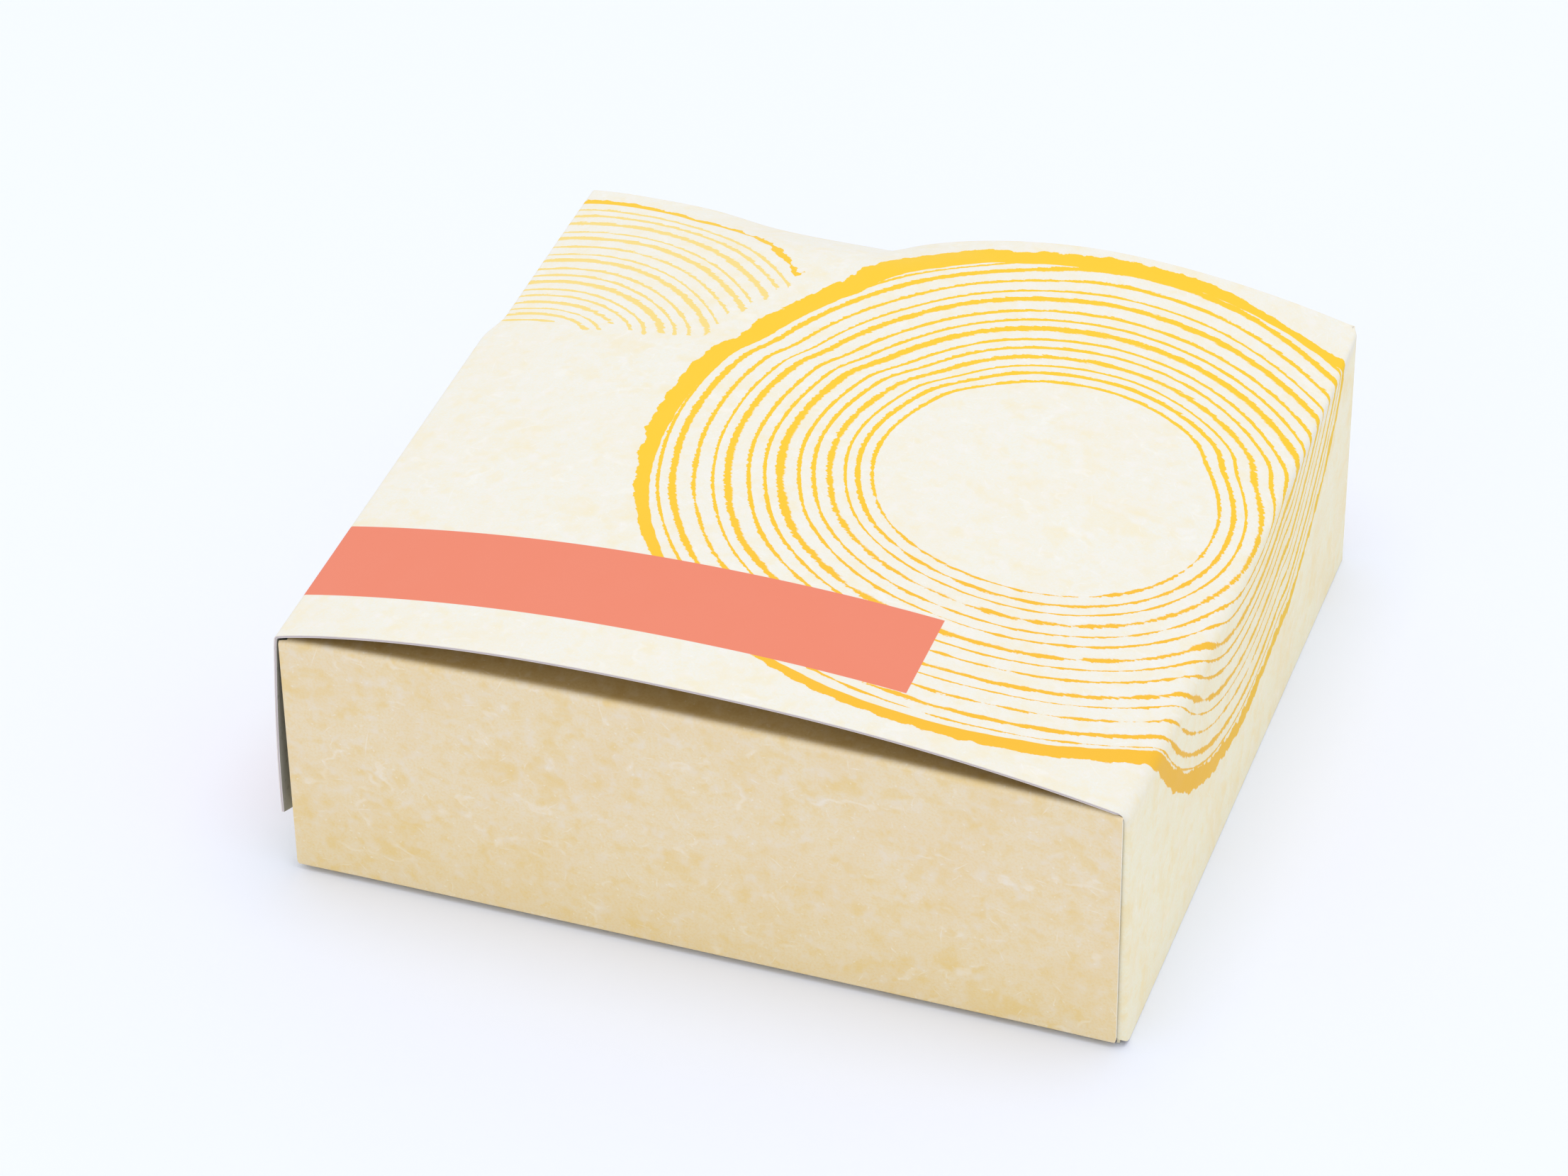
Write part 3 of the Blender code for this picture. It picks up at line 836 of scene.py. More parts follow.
@dataclass(frozen=True)
class Signal:
    """What leaves one socket of a material's nodes: a number, a place or a colour all over a surface."""

    tree: bpy.types.NodeTree
    socket: bpy.types.NodeSocket

    def beside(self, out: str) -> "Signal":
        """What leaves another socket of the same node."""
        return Signal(self.tree, self.socket.node.outputs[out])

    def number(self, operation: str, *others: "Feed") -> "Signal":
        """The result of one sum on this number and others."""
        feeds = dict(enumerate((self, *others)))
        return add_node(self.tree, "ShaderNodeMath", feeds, operation=operation)

    def vector(self, operation: str, *others: "Feed", out: str = "Vector") -> "Signal":
        """The result of one vector sum on this place and others."""
        feeds = dict(enumerate((self, *others)))
        return add_node(self.tree, "ShaderNodeVectorMath", feeds, out=out, operation=operation)

    def __add__(self, other: "Feed") -> "Signal":
        """This number plus another."""
        return self.number("ADD", other)

    def __sub__(self, other: "Feed") -> "Signal":
        """This number minus another."""
        return self.number("SUBTRACT", other)

    def __mul__(self, other: "Feed") -> "Signal":
        """This number times another."""
        return self.number("MULTIPLY", other)

    def step(self, low: float, high: float, bottom: float = 0.0, top: float = 1.0) -> "Signal":
        """A smooth step from bottom, where this number is low, to top, where it is high."""
        feeds = {"Value": self, "From Min": low, "From Max": high, "To Min": bottom, "To Max": top}
        return add_node(self.tree, "ShaderNodeMapRange", feeds, interpolation_type="SMOOTHSTEP")

    def noise(self, size: float, detail: float = 2.0, shift: float = 0.0, out: str = "Fac") -> "Signal":
        """Noise over this place.

        Args:
            size: Size of its larger features, in the place's own units.
            detail: Number of finer layers added.
            shift: Distance that moves the pattern, so that two of one size differ.
            out: "Fac" for one number or "Color" for three.

        Returns:
            Values about 0.5.
        """
        moved = self.vector("ADD", (shift, 0.7 * shift, 1.3 * shift))
        feeds = {"Vector": moved, "Scale": 1.0 / size, "Detail": detail}
        return add_node(self.tree, "ShaderNodeTexNoise", feeds, out=out)

    def waver(self, depth: "Feed", size: float, detail: float = 2.0, shift: float = 0.0) -> "Signal":
        """Noise over this place about 0, whose values lie at most the given depth apart."""
        return (self.noise(size, detail, shift) - 0.5) * depth

    def between(self, first: "Feed", second: "Feed") -> "Signal":
        """The first colour where this number is 0 and the second where it is 1."""
        feeds = {0: self, 6: first, 7: second}
        return add_node(self.tree, "ShaderNodeMix", feeds, out=2, data_type="RGBA")


Feed = Signal | float | tuple[float, ...]


def add_node(
    tree: bpy.types.NodeTree,
    kind: str,
    feeds: Mapping[int | str, Feed] | None = None,
    out: int | str = 0,
    **settings: object,
) -> Signal:
    """Add one node to a material, with its settings and what feeds its inputs.

    Args:
        tree: The material's nodes.
        kind: Blender's name of the kind of node.
        feeds: For an input's name or number, a plain value or what leaves another node.
        out: Name or number of the output that is wanted.
        settings: The node's own properties.

    Returns:
        What leaves that output.
    """
    node = tree.nodes.new(kind)
    for setting, value in settings.items():
        setattr(node, setting, value)
    for slot, feed in (feeds or {}).items():
        if isinstance(feed, Signal):
            tree.links.new(feed.socket, node.inputs[slot])
        else:
            node.inputs[slot].default_value = feed
    return Signal(tree, node.outputs[out])


def linear(colour: str) -> tuple[float, float, float, float]:
    """Turn an sRGB colour to a linear one.

    Args:
        colour: The colour, as #rrggbb.

    Returns:
        Its linear red, green and blue, and full alpha.
    """
    parts = (int(colour[place:place + 2], 16) / 255.0 for place in (1, 3, 5))
    red, green, blue = (
        part / 12.92 if part <= 0.04045 else ((part + 0.055) / 1.055) ** 2.4 for part in parts
    )
    return red, green, blue, 1.0


def place_on(tree: bpy.types.NodeTree, ground: Ground) -> Signal:
    """Add what gives the place from which a print is worked out.

    Args:
        tree: The material's nodes.
        ground: Where the print reads its place from.

    Returns:
        The place, in millimetres.
    """
    if ground is Ground.FLAT_BOARD:
        return add_node(tree, "ShaderNodeUVMap", uv_map=FLAT_MAP)
    within = add_node(tree, "ShaderNodeTexCoord", out="Object").vector("MULTIPLY", (1.0 / MM,) * 3)
    parts = add_node(tree, "ShaderNodeSeparateXYZ", {"Vector": within}, out="Y")
    return add_node(tree, "ShaderNodeCombineXYZ", {"X": parts + parts.beside("X"), "Y": parts.beside("Z")})


@dataclass(frozen=True)
class BoardFinish:
    """Gloss and tooth that the faces of a carton board share.

    Attributes:
        name: The material's name.
        roughness: Mean roughness.
        uneven: How far the roughness strays to either side.
        ior: Index of refraction of its varnish or fibre.
        tooth: Size of the surface's tooth, in millimetres.
        relief: Height of the tooth, in millimetres.
    """

    name: str
    roughness: float
    uneven: float
    ior: float
    tooth: float
    relief: float

    # Size of the patches of like sheen, in teeth.
    SHEEN_SIZE = 14.0
    # Noise between which the roughness goes from its least to its most.
    SHEEN_STEP = (0.3, 0.7)

    def material(self, ground: Ground) -> tuple[bpy.types.Material, bpy.types.Node, Signal]:
        """Make the material, without its colour.

        Args:
            ground: Where its patterns read their place from.

        Returns:
            The material, its shader, and the place on the surface in millimetres.
        """
        material = bpy.data.materials.new(self.name)
        material.use_nodes = True
        tree = material.node_tree
        shader = tree.nodes["Principled BSDF"]
        shader.inputs["IOR"].default_value = self.ior
        shader.inputs["Metallic"].default_value = 0.0
        place = place_on(tree, ground)
        tooth = place.noise(self.tooth, detail=3.0, shift=5.0)
        sheen = place.noise(self.SHEEN_SIZE * self.tooth, detail=3.0, shift=9.0)
        rough = sheen.step(*self.SHEEN_STEP, self.roughness - self.uneven, self.roughness + self.uneven)
        feeds = {"Strength": 1.0, "Distance": self.relief * MM, "Height": tooth}
        bump = add_node(tree, "ShaderNodeBump", feeds, out="Normal")
        tree.links.new(rough.socket, shader.inputs["Roughness"])
        tree.links.new(bump.socket, shader.inputs["Normal"])
        return material, shader, place


@dataclass(frozen=True)
class Fibres:
    """Short pale fibres strewn in the paper, one to a cell, each at its own angle and gently bent.

    Attributes:
        spacing: Distance from one cell to the next, in millimetres.
        length: Length of the longest fibre.
        width: Width of a fibre.
        share: Share of the cells that hold one.
        bend: How far a fibre bends to either side.
        shift: Distance that moves the pattern, so that two of one size differ.
    """

    spacing: float
    length: float
    width: float
    share: float
    bend: float
    shift: float

    SOFT_EDGE = 0.12
    # Size of the bends, and half lengths of the shortest and longest fibre, as shares of the length.
    BEND_SIZE = 0.55
    SHORTEST = 0.2
    LONGEST = 0.5
    # How far the fibres stray from an even grid, from 0 to 1.
    SCATTER = 0.9
    # Turns noise, which keeps within about a quarter of its middle value, into a swing of 1.
    SWING = 4.0

    def mask(self, place: Signal) -> Signal:
        """Where the fibres lie.

        Args:
            place: Place on the board, in millimetres.

        Returns:
            1 on a fibre and 0 between them.
        """
        tree = place.tree
        swing = self.SWING * self.bend
        noise = place.noise(self.BEND_SIZE * self.length, 1.0, self.shift, out="Color")
        bends = noise.vector("SUBTRACT", (0.5, 0.5, 0.5)).vector("MULTIPLY", (swing, swing, 0.0))
        bent = place.vector("ADD", bends).vector("ADD", (self.shift, 2.0 * self.shift, 0.0))
        feeds = {"Vector": bent, "Scale": 1.0 / self.spacing, "Randomness": self.SCATTER}
        cell = add_node(tree, "ShaderNodeTexVoronoi", feeds, out="Position", voronoi_dimensions="2D")
        chance = add_node(tree, "ShaderNodeSeparateColor", {"Color": cell.beside("Color")}, out="Red")
        within = bent.vector("SUBTRACT", cell).vector("MULTIPLY", (1.0, 1.0, 0.0))
        feeds = {"Vector": within, "Angle": chance * (2.0 * math.pi)}
        turned = add_node(tree, "ShaderNodeVectorRotate", feeds, rotation_type="Z_AXIS")
        parts = add_node(tree, "ShaderNodeSeparateXYZ", {"Vector": turned}, out="X")
        along = parts.number("ABSOLUTE")
        across = parts.beside("Y").number("ABSOLUTE")
        longest = self.LONGEST * self.length
        reach = chance.beside("Green").step(0.0, 1.0, self.SHORTEST * self.length, longest)
        ends = (reach - along).step(0.0, longest)
        body = (ends * (0.5 * self.width) - across).step(-self.SOFT_EDGE, self.SOFT_EDGE)
        kept = chance.beside("Blue").step(1.0 - self.share, 1.01 - self.share)
        return body * ends * kept


@dataclass(frozen=True)
class Veins:
    """Long winding strands of fibre in the paper, broken into pieces, that lie mostly one way.

    Attributes:
        size: Size of their windings, in millimetres.
        width: Width of a strand.
        piece: Length of the pieces.
        cover: How far the strands cover the paper, from 0.
        shift: Distance that moves the pattern, so that two of one size differ.
    """

    size: float
    width: float
    piece: float
    cover: float
    shift: float

    # Turn of the paper's grain in radians, and scale across it to that along it.
    GRAIN_TURN = -0.5
    GRAIN_STRETCH = 0.6
    # Change of the winding noise over a distance of its size.
    SLOPE = 0.9
    # Share of a strand's width over which it is full.
    FULL = 0.15
    # Noise between which a strand without cover breaks off, and the distance that moves it.
    BREAK = (0.62, 0.74)
    BREAK_SHIFT = 31.0

    def mask(self, place: Signal) -> Signal:
        """Where the strands lie.

        Args:
            place: Place on the board, in millimetres.

        Returns:
            1 along the middle of a strand and 0 between them.
        """
        feeds = {
            "Vector": place,
            "Rotation": (0.0, 0.0, self.GRAIN_TURN),
            "Scale": (self.GRAIN_STRETCH, 1.0, 1.0),
        }
        along = add_node(place.tree, "ShaderNodeMapping", feeds)
        height = along.noise(self.size, 3.0, self.shift)
        slope = self.SLOPE * self.width / self.size
        strand = (height - 0.5).number("ABSOLUTE").step(self.FULL * slope, slope, 1.0, 0.0)
        low, high = (noise - self.cover for noise in self.BREAK)
        broken = place.noise(self.piece, 2.0, self.shift + self.BREAK_SHIFT).step(low, high)
        return strand * broken


@dataclass(frozen=True)
class Patches:
    """Soft patches of one colour strewn over the paper.

    Attributes:
        size: Their size, in millimetres.
        detail: Number of finer layers in their outlines.
        shift: Distance that moves the pattern, so that two of one size differ.
        low: Noise up to which the paper stays bare.
        high: Noise from which they are full.
        cover: How strongly a full one covers the paper.
    """

    size: float
    detail: float
    shift: float
    low: float
    high: float
    cover: float

    def mask(self, place: Signal, strength: float) -> Signal:
        """How strongly the patches show all over the board, in a print of the given strength."""
        noise = place.noise(self.size, self.detail, self.shift)
        return noise.step(self.low, self.high, 0.0, self.cover * strength)


@dataclass(frozen=True)
class MulberryPrint:
    """Printed likeness of handmade mulberry paper: a warm ground with ochre clouds, pale wisps and fibres.

    Attributes:
        ground: Colour of the ground.
        blush: Colour of the broad patches in it.
        ochre: Colour of its clouds, strands and grain.
        wisp: Colour of its pale veils.
        fibre: Colour of its pale fibres.
        strength: How strongly all of these show over the ground.
        dark_strands: The ochre strands.
        pale_strands: The pale strands.
        fibres: The short pale fibres.
    """

    ground: str
    blush: str
    ochre: str
    wisp: str
    fibre: str
    strength: float
    dark_strands: Veins = Veins(size=13.0, width=1.0, piece=8.0, cover=0.12, shift=4.0)
    pale_strands: Veins = Veins(size=12.0, width=0.3, piece=4.5, cover=0.10, shift=88.0)
    fibres: tuple[Fibres, ...] = (
        Fibres(spacing=1.7, length=1.1, width=0.28, share=0.35, bend=0.1, shift=150.0),
        Fibres(spacing=4.0, length=4.5, width=0.18, share=0.5, bend=0.2, shift=0.0),
        Fibres(spacing=9.0, length=9.0, width=0.2, share=0.35, bend=0.35, shift=310.0),
    )

    BLUSH = Patches(size=14.0, detail=3.0, shift=61.0, low=0.40, high=0.68, cover=1.0)
    CLOUDS = Patches(size=3.0, detail=2.0, shift=17.0, low=0.46, high=0.80, cover=0.8)
    GRAIN = Patches(size=0.45, detail=2.0, shift=29.0, low=0.35, high=0.80, cover=0.6)
    WISPS = Patches(size=3.0, detail=2.0, shift=143.0, low=0.48, high=0.78, cover=0.8)
    DARK_COVER = 0.55
    PALE_COVER = 0.35
    FIBRE_COVER = 0.5

    def colour(self, place: Signal) -> Signal:
        """The print's colour over the board.

        Args:
            place: Place on the board, in millimetres.

        Returns:
            Its linear colour.
        """
        much = self.strength
        colour = self.BLUSH.mask(place, much).between(linear(self.ground), linear(self.blush))
        layers = [
            (self.CLOUDS.mask(place, much), self.ochre),
            (self.dark_strands.mask(place) * (self.DARK_COVER * much), self.ochre),
            (self.GRAIN.mask(place, much), self.ochre),
            (self.WISPS.mask(place, much), self.wisp),
            (self.pale_strands.mask(place) * (self.PALE_COVER * much), self.fibre),
        ]
        for fibres in self.fibres:
            layers.append((fibres.mask(place) * (self.FIBRE_COVER * much), self.fibre))
        for mask, ink in layers:
            colour = mask.between(colour, linear(ink))
        return colour


@dataclass(frozen=True)
class Lobe:
    """A stretch of a rim that lies further out than the rest, or further in.

    Attributes:
        heading: Direction of its middle.
        reach: How far it reaches to each side, in degrees.
        push: How far out it lies in its middle, in millimetres.
        carry: Share of that by which the rim's inner edge goes along.
    """

    heading: float
    reach: float
    push: float
    carry: float

    def outward(self, heading: Signal) -> Signal:
        """How far out the rim lies for this lobe.

        Args:
            heading: Direction from the figure's heart.

        Returns:
            The distance in millimetres, which is 0 away from the lobe.
        """
        turn = math.radians(self.heading)
        facing = heading.vector("DOT_PRODUCT", (math.cos(turn), math.sin(turn), 0.0), out="Value")
        return facing.step(math.cos(math.radians(self.reach)), 1.0, 0.0, self.push)


@dataclass(frozen=True)
class Lay:
    """How a ring figure lies on the board.

    Attributes:
        place: Place on the board, in millimetres.
        heading: Direction from the figure's heart.
        radius: Distance from the heart, which strays a little.
        stroke: The place again, drawn out along the brush's strokes.
        comb: How far the ink's edges are frayed.
        sparse: How far the lines break up, from 0 to 1.
    """

    place: Signal
    heading: Signal
    radius: Signal
    stroke: Signal
    comb: Signal
    sparse: Signal

    def towards(self, direction: tuple[float, float]) -> Signal:
        """How far the heading agrees with a direction, from -1 to 1."""
        return self.heading.vector("DOT_PRODUCT", (*direction, 0.0), out="Value")


@dataclass(frozen=True)
class GrowthRings:
    """A generic figure of growth rings, drawn by rule: a rim round thin broken lines about a plain disc.

    Attributes:
        rim_ink: Colour of the rim's ink.
        line_ink: Colour of the lines' ink.
        dry_ink: Colour of both where the lines break up.
        centre: Heart of the figure on the flat board.
        lobes: Where its rim lies further out or in.
        core: Radius from which the lines are counted.
        rim: Outer radius of the rim.
        lines: Number of thin lines between the core and the rim.
        rim_width: Least width of the rim.
        rim_swell: How much wider it is in the heavy direction and opposite to it.
        rim_tilt: How much of that it gains in the heavy direction and loses opposite to it.
        heavy: Direction in which the rim is widest.
        thin: Direction in which the lines break up most.
        dryness: Width that the lines lose there.
        wet: Least mean half width of a line.
        comb: How far the brush's streaks, which run across the board, fray the ink's edges.
        shift: Distance that moves the figure's noise.
        lower: Distance from the lid's front edge where the figure is cut off, or none for a whole one.
        clear: How far a cut figure keeps from the trunk's heart.
    """

    rim_ink: str
    line_ink: str
    dry_ink: str
    centre: tuple[float, float]
    lobes: tuple[Lobe, ...]
    core: float
    rim: float
    lines: int
    rim_width: float
    rim_swell: float
    rim_tilt: float
    heavy: tuple[float, float]
    thin: tuple[float, float]
    dryness: float
    wet: float
    comb: float
    shift: float
    lower: float | None = None
    clear: float = 0.0

    SOFT_EDGE = 0.09
    # Depth and size of how the figure strays: in millimetres, and for the sway's size in radians.
    DRIFT, DRIFT_SIZE = 0.6, 16.0
    SWAY, SWAY_SIZE = 1.1, 0.9
    # Stretch and size of the brush's strokes, and the tooth of the paper under them.
    STROKE, STROKE_SIZE = (0.14, 1.0, 1.0), 0.7
    TOOTH, TOOTH_SIZE = 0.5, 0.5
    # Agreement with the thin direction between which the lines begin and end to break up.
    SPARSE = (-0.25, 0.95)
    # Power by which the lines crowd near the core, waves in their spacing, and gap before the rim.
    CROWDING = 0.86
    SPACING_WAVES = ((2.3, 0.12), (4.1, 0.07))
    RIM_GAP = 2.1
    # Count between which the first line begins.  The last one ends as many later as there are lines.
    FIRST_LINE = (0.49, 0.51)
    # How much wider than the thinnest the thickest line is, and how the brush's pressure changes.
    WEIGHT = 0.18
    BRUSH, DRY_BRUSH, BRUSH_SIZE = 0.3, 0.75, 5.5
    # Distance between the noise of one line and the next.
    LINE_SHIFT = 31.0
    # Share of the fraying that a line's inner edge and the rim's outer edge have.
    INNER_FRAY, RIM_FRAY = 0.45, 0.6
    # Agreement with a direction between which the rim changes on that side.
    SIDE = (0.2, 0.9)
    # Depths of the rim's torn inner edge, all round and added at the right.
    TORN, TORN_RIGHT, TORN_SIZE = 1.2, 3.4, 3.0
    # Depths of its notched outer edge, on the light side, the heavy side and added at the right.
    NOTCH, NOTCH_HEAVY, NOTCH_RIGHT, NOTCH_SIZE = 1.8, 3.4, 1.4, 3.0
    # How unevenly the lines of a cut figure end at its lower edge and beside the trunk.
    LOWER_STRAY, CLEAR_STRAY = 3.0, 2.4

    def over(self, colour: Signal, place: Signal) -> Signal:
        """Print the figure over the board's colour.

        Args:
            colour: The colour under it.
            place: Place on the board, in millimetres.

        Returns:
            The colour with the figure.
        """
        lines, rim, sparse = self.masks(place)
        dry = linear(self.dry_ink)
        with_lines = lines.between(colour, sparse.between(linear(self.line_ink), dry))
        return rim.between(with_lines, sparse.between(linear(self.rim_ink), dry))

    def masks(self, place: Signal) -> tuple[Signal, Signal, Signal]:
        """Where the figure's ink lies.

        Args:
            place: Place on the board, in millimetres.

        Returns:
            For the thin lines and for the rim, 1 on the ink and 0 off it, and how far the lines break up.
        """
        lay = self.lay(place)
        lines, weight = self.line_mask(lay)
        inside, outside = self.rim_edges(lay)
        lines, rim = lines * outside, inside * outside
        if self.lower is not None:
            kept = self.kept(lay, weight, self.lower)
            lines, rim = lines * kept, rim * kept
        return lines, rim, lay.sparse

    def lay(self, place: Signal) -> Lay:
        """Work out how the figure lies on the board.

        Args:
            place: Place on the board, in millimetres.

        Returns:
            Heading, radius, strokes and fraying, all over the board.
        """
        offset = place.vector("SUBTRACT", (*self.centre, 0.0))
        heading = offset.vector("NORMALIZE")
        drift = place.waver(self.DRIFT, self.DRIFT_SIZE, 0.0, self.shift)
        sway = heading.waver(self.SWAY, self.SWAY_SIZE, 0.0, self.shift)
        radius = offset.vector("LENGTH", out="Value") + drift + sway
        stroke = add_node(place.tree, "ShaderNodeMapping", {"Vector": place, "Scale": self.STROKE})
        tooth = place.waver(self.TOOTH, self.TOOTH_SIZE, 2.0, self.shift + 2.0)
        comb = stroke.waver(self.comb, self.STROKE_SIZE, 2.0, self.shift) + tooth
        thin = heading.vector("DOT_PRODUCT", (*self.thin, 0.0), out="Value")
        return Lay(place, heading, radius, stroke, comb, thin.step(*self.SPARSE))

    def line_mask(self, lay: Lay) -> tuple[Signal, Signal]:
        """Where the thin lines lie, under the rim too.

        Args:
            lay: How the figure lies on the board.

        Returns:
            1 on a line and 0 beside it, and a weight from 0 to 1 that each line has to itself.
        """
        tree = lay.place.tree
        soft = self.SOFT_EDGE
        span = self.rim - self.rim_width - self.RIM_GAP - self.core
        share = ((lay.radius - self.core) * (1.0 / span)).number("MAXIMUM", 0.0)
        even = share.number("POWER", self.CROWDING) * float(self.lines)
        count = even
        for pace, stray in self.SPACING_WAVES:
            count = count + (even * pace).number("SINE") * stray
        index = count.number("ROUND")
        off_line = (count - index) * (span / self.lines)
        weight = add_node(tree, "ShaderNodeTexWhiteNoise", {"W": index}, noise_dimensions="1D")
        apart = add_node(tree, "ShaderNodeCombineXYZ", {"Z": index * self.LINE_SHIFT})
        pressure = lay.sparse * self.DRY_BRUSH + self.BRUSH
        brush = lay.place.vector("ADD", apart).waver(pressure, self.BRUSH_SIZE, 2.0, self.shift)
        half = weight.step(0.0, 1.0, self.wet, self.wet + self.WEIGHT) + brush - lay.sparse * self.dryness
        inner = (half + lay.comb * self.INNER_FRAY + off_line).step(-soft, soft)
        outer = (half + lay.comb - off_line).step(-soft, soft)
        bare, full = self.FIRST_LINE
        within = count.step(bare, full) * count.step(self.lines + bare, self.lines + full, 1.0, 0.0)
        return inner * outer * within, weight

    def rim_edges(self, lay: Lay) -> tuple[Signal, Signal]:
        """Where the rim begins and where it ends.

        Args:
            lay: How the figure lies on the board.

        Returns:
            1 from the rim's inner edge outwards, and 1 from its outer edge inwards.
        """
        soft = self.SOFT_EDGE
        lean = lay.towards(self.heavy)
        ragged = lay.towards((1.0, 0.0)).step(*self.SIDE)
        width = (lean * self.rim_swell + self.rim_tilt) * lean + self.rim_width
        tearing = ragged * self.TORN_RIGHT + self.TORN
        inward = lay.radius + width + lay.stroke.waver(tearing, self.TORN_SIZE, 4.0, self.shift + 5.0)
        notching = ragged * self.NOTCH_RIGHT + lean.step(*self.SIDE, self.NOTCH, self.NOTCH_HEAVY)
        notches = lay.place.waver(notching, self.NOTCH_SIZE, 5.0, self.shift + 9.0)
        notched = lay.radius + notches + lay.comb * self.RIM_FRAY
        for lobe in self.lobes:
            push = lobe.outward(lay.heading)
            inward = inward - push * lobe.carry
            notched = notched - push
        inside = inward.step(self.rim - soft, self.rim + soft)
        return inside, notched.step(self.rim - soft, self.rim + soft, 1.0, 0.0)

    def kept(self, lay: Lay, weight: Signal, lower: float) -> Signal:
        """Where a cut figure is printed: behind its lower edge and clear of the trunk.

        Args:
            lay: How the figure lies on the board.
            weight: The lines' own weights, by which their ends stray.
            lower: Distance of the lower edge from the lid's front edge.

        Returns:
            1 where it is printed and 0 where it is cut off.
        """
        soft = self.SOFT_EDGE
        stray = weight - 0.5
        across = add_node(lay.place.tree, "ShaderNodeSeparateXYZ", {"Vector": lay.place}, out="Y")
        behind = (across + stray * self.LOWER_STRAY).step(lower - soft, lower + soft)
        apart = lay.place.vector("DISTANCE", (*TRUNK.centre, 0.0), out="Value")
        clear = (apart + stray * self.CLEAR_STRAY + lay.comb).step(self.clear - soft, self.clear + soft)
        return behind * clear


@dataclass(frozen=True)
class Band:
    """A bare band of one ink across the wrap, from its flap to a square end on the top.

    Attributes:
        ink: Colour of its ink.
        front: Place of its front edge on the flat board, in millimetres from the lid's front edge.
        back: Place of its back edge.
        right: Place of its square end, in millimetres from the left fold.
    """

    ink: str
    front: float
    back: float
    right: float

    SOFT_EDGE = 0.06

    def over(self, colour: Signal, place: Signal) -> Signal:
        """Print the band over the board's colour.

        Args:
            colour: The colour under it.
            place: Place on the board, in millimetres.

        Returns:
            The colour with the band.
        """
        soft = self.SOFT_EDGE
        parts = add_node(place.tree, "ShaderNodeSeparateXYZ", {"Vector": place}, out="Y")
        behind = parts.step(self.front - soft, self.front + soft)
        before = parts.step(self.back - soft, self.back + soft, 1.0, 0.0)
        on_band = behind * before * parts.beside("X").step(self.right - soft, self.right + soft, 1.0, 0.0)
        return on_band.between(colour, linear(self.ink))


# Offset-printed carton board under a matt aqueous varnish: soft even sheen, and just enough tooth
# of paper fibre to keep it from looking like plastic.  The real tooth of about 0.1 mm is too fine to
# show, so it is drawn as coarse as 0.7 mm, and that of the two finishes below is coarsened as well.
VARNISHED = BoardFinish("offset_printed_board", roughness=0.6, uneven=0.05, ior=1.4, tooth=0.7, relief=0.012)

# Uncoated grey back of the board: dull and fibrous.
UNCOATED = BoardFinish("uncoated_board_back", roughness=0.86, uneven=0.05, ior=1.45, tooth=0.5, relief=0.03)

# Die-cut edge of the board: its printed skin, pale fibre and a slightly darker middle ply.
DIE_CUT = BoardFinish("die_cut_board_edge", roughness=0.88, uneven=0.04, ior=1.45, tooth=0.25, relief=0.03)

# One print in three tones that paint how light falls: palest and coolest on the brightly lit top, deeper and
# warmer on the walls, deepest on the end panels. They are lit and shaded copies of one paper.
LID_PAINTED_LIGHT_PAPER = MulberryPrint(
    ground="#e8e7e0", blush="#e9e5d9", ochre="#ebe0bf", wisp="#ece9e7", fibre="#f2f2f2", strength=0.65,
)
WALL_PAINTED_SHADE_PAPER = MulberryPrint(
    ground="#f2edd3", blush="#f2e6c4", ochre="#f3dea6", wisp="#f5edd9", fibre="#fcf6e1", strength=0.7,
)
PANEL_PAINTED_SHADE_PAPER = MulberryPrint(
    ground="#efdebd", blush="#eedab6", ochre="#edcf8c", wisp="#eee2cf", fibre="#f9f3eb", strength=0.85,
)
PANEL_FOOT_PAPER = MulberryPrint(
    ground="#eddab2", blush="#ecd6a9", ochre="#ebcc81", wisp="#eddec2", fibre="#f8f1e2", strength=0.85,
)
# Deep brown tone for the tuck flaps: painted shade, standing for the dark wedge seen under the arched top's
# edges.
TUCK_PAINTED_SHADE_PAPER = MulberryPrint(
    ground="#c2a36c", blush="#bd9d64", ochre="#b48f4c", wisp="#c6ab80", fibre="#d2be9c", strength=0.8,
)

TRUNK = GrowthRings(
    rim_ink="#f2c628", line_ink="#f2c62a", dry_ink="#f0b92c", centre=(119.1, 79.8),
    lobes=(
        Lobe(heading=83.0, reach=33.0, push=-3.9, carry=0.9),
        Lobe(heading=126.0, reach=14.0, push=3.2, carry=0.5),
    ),
    core=30.1, rim=75.2, lines=14, rim_width=1.9, rim_swell=2.6, rim_tilt=0.6, heavy=(-0.77, 0.64),
    thin=(0.35, -0.94), dryness=0.17, wet=0.34, comb=1.0, shift=40.0,
)
BRANCH = GrowthRings(
    rim_ink="#f2c533", line_ink="#efd583", dry_ink="#efdb9a", centre=(5.5, 84.0),
    lobes=(Lobe(heading=60.0, reach=12.0, push=1.2, carry=1.2),),
    core=19.5, rim=65.4, lines=17, rim_width=1.5, rim_swell=0.0, rim_tilt=-0.3, heavy=(0.9, 0.44),
    thin=(0.0, -1.0), dryness=0.0, wet=0.26, comb=1.3, shift=230.0, lower=103.2, clear=80.6,
)
SASH = Band(ink="#e68369", front=12.8, back=34.5, right=114.3)


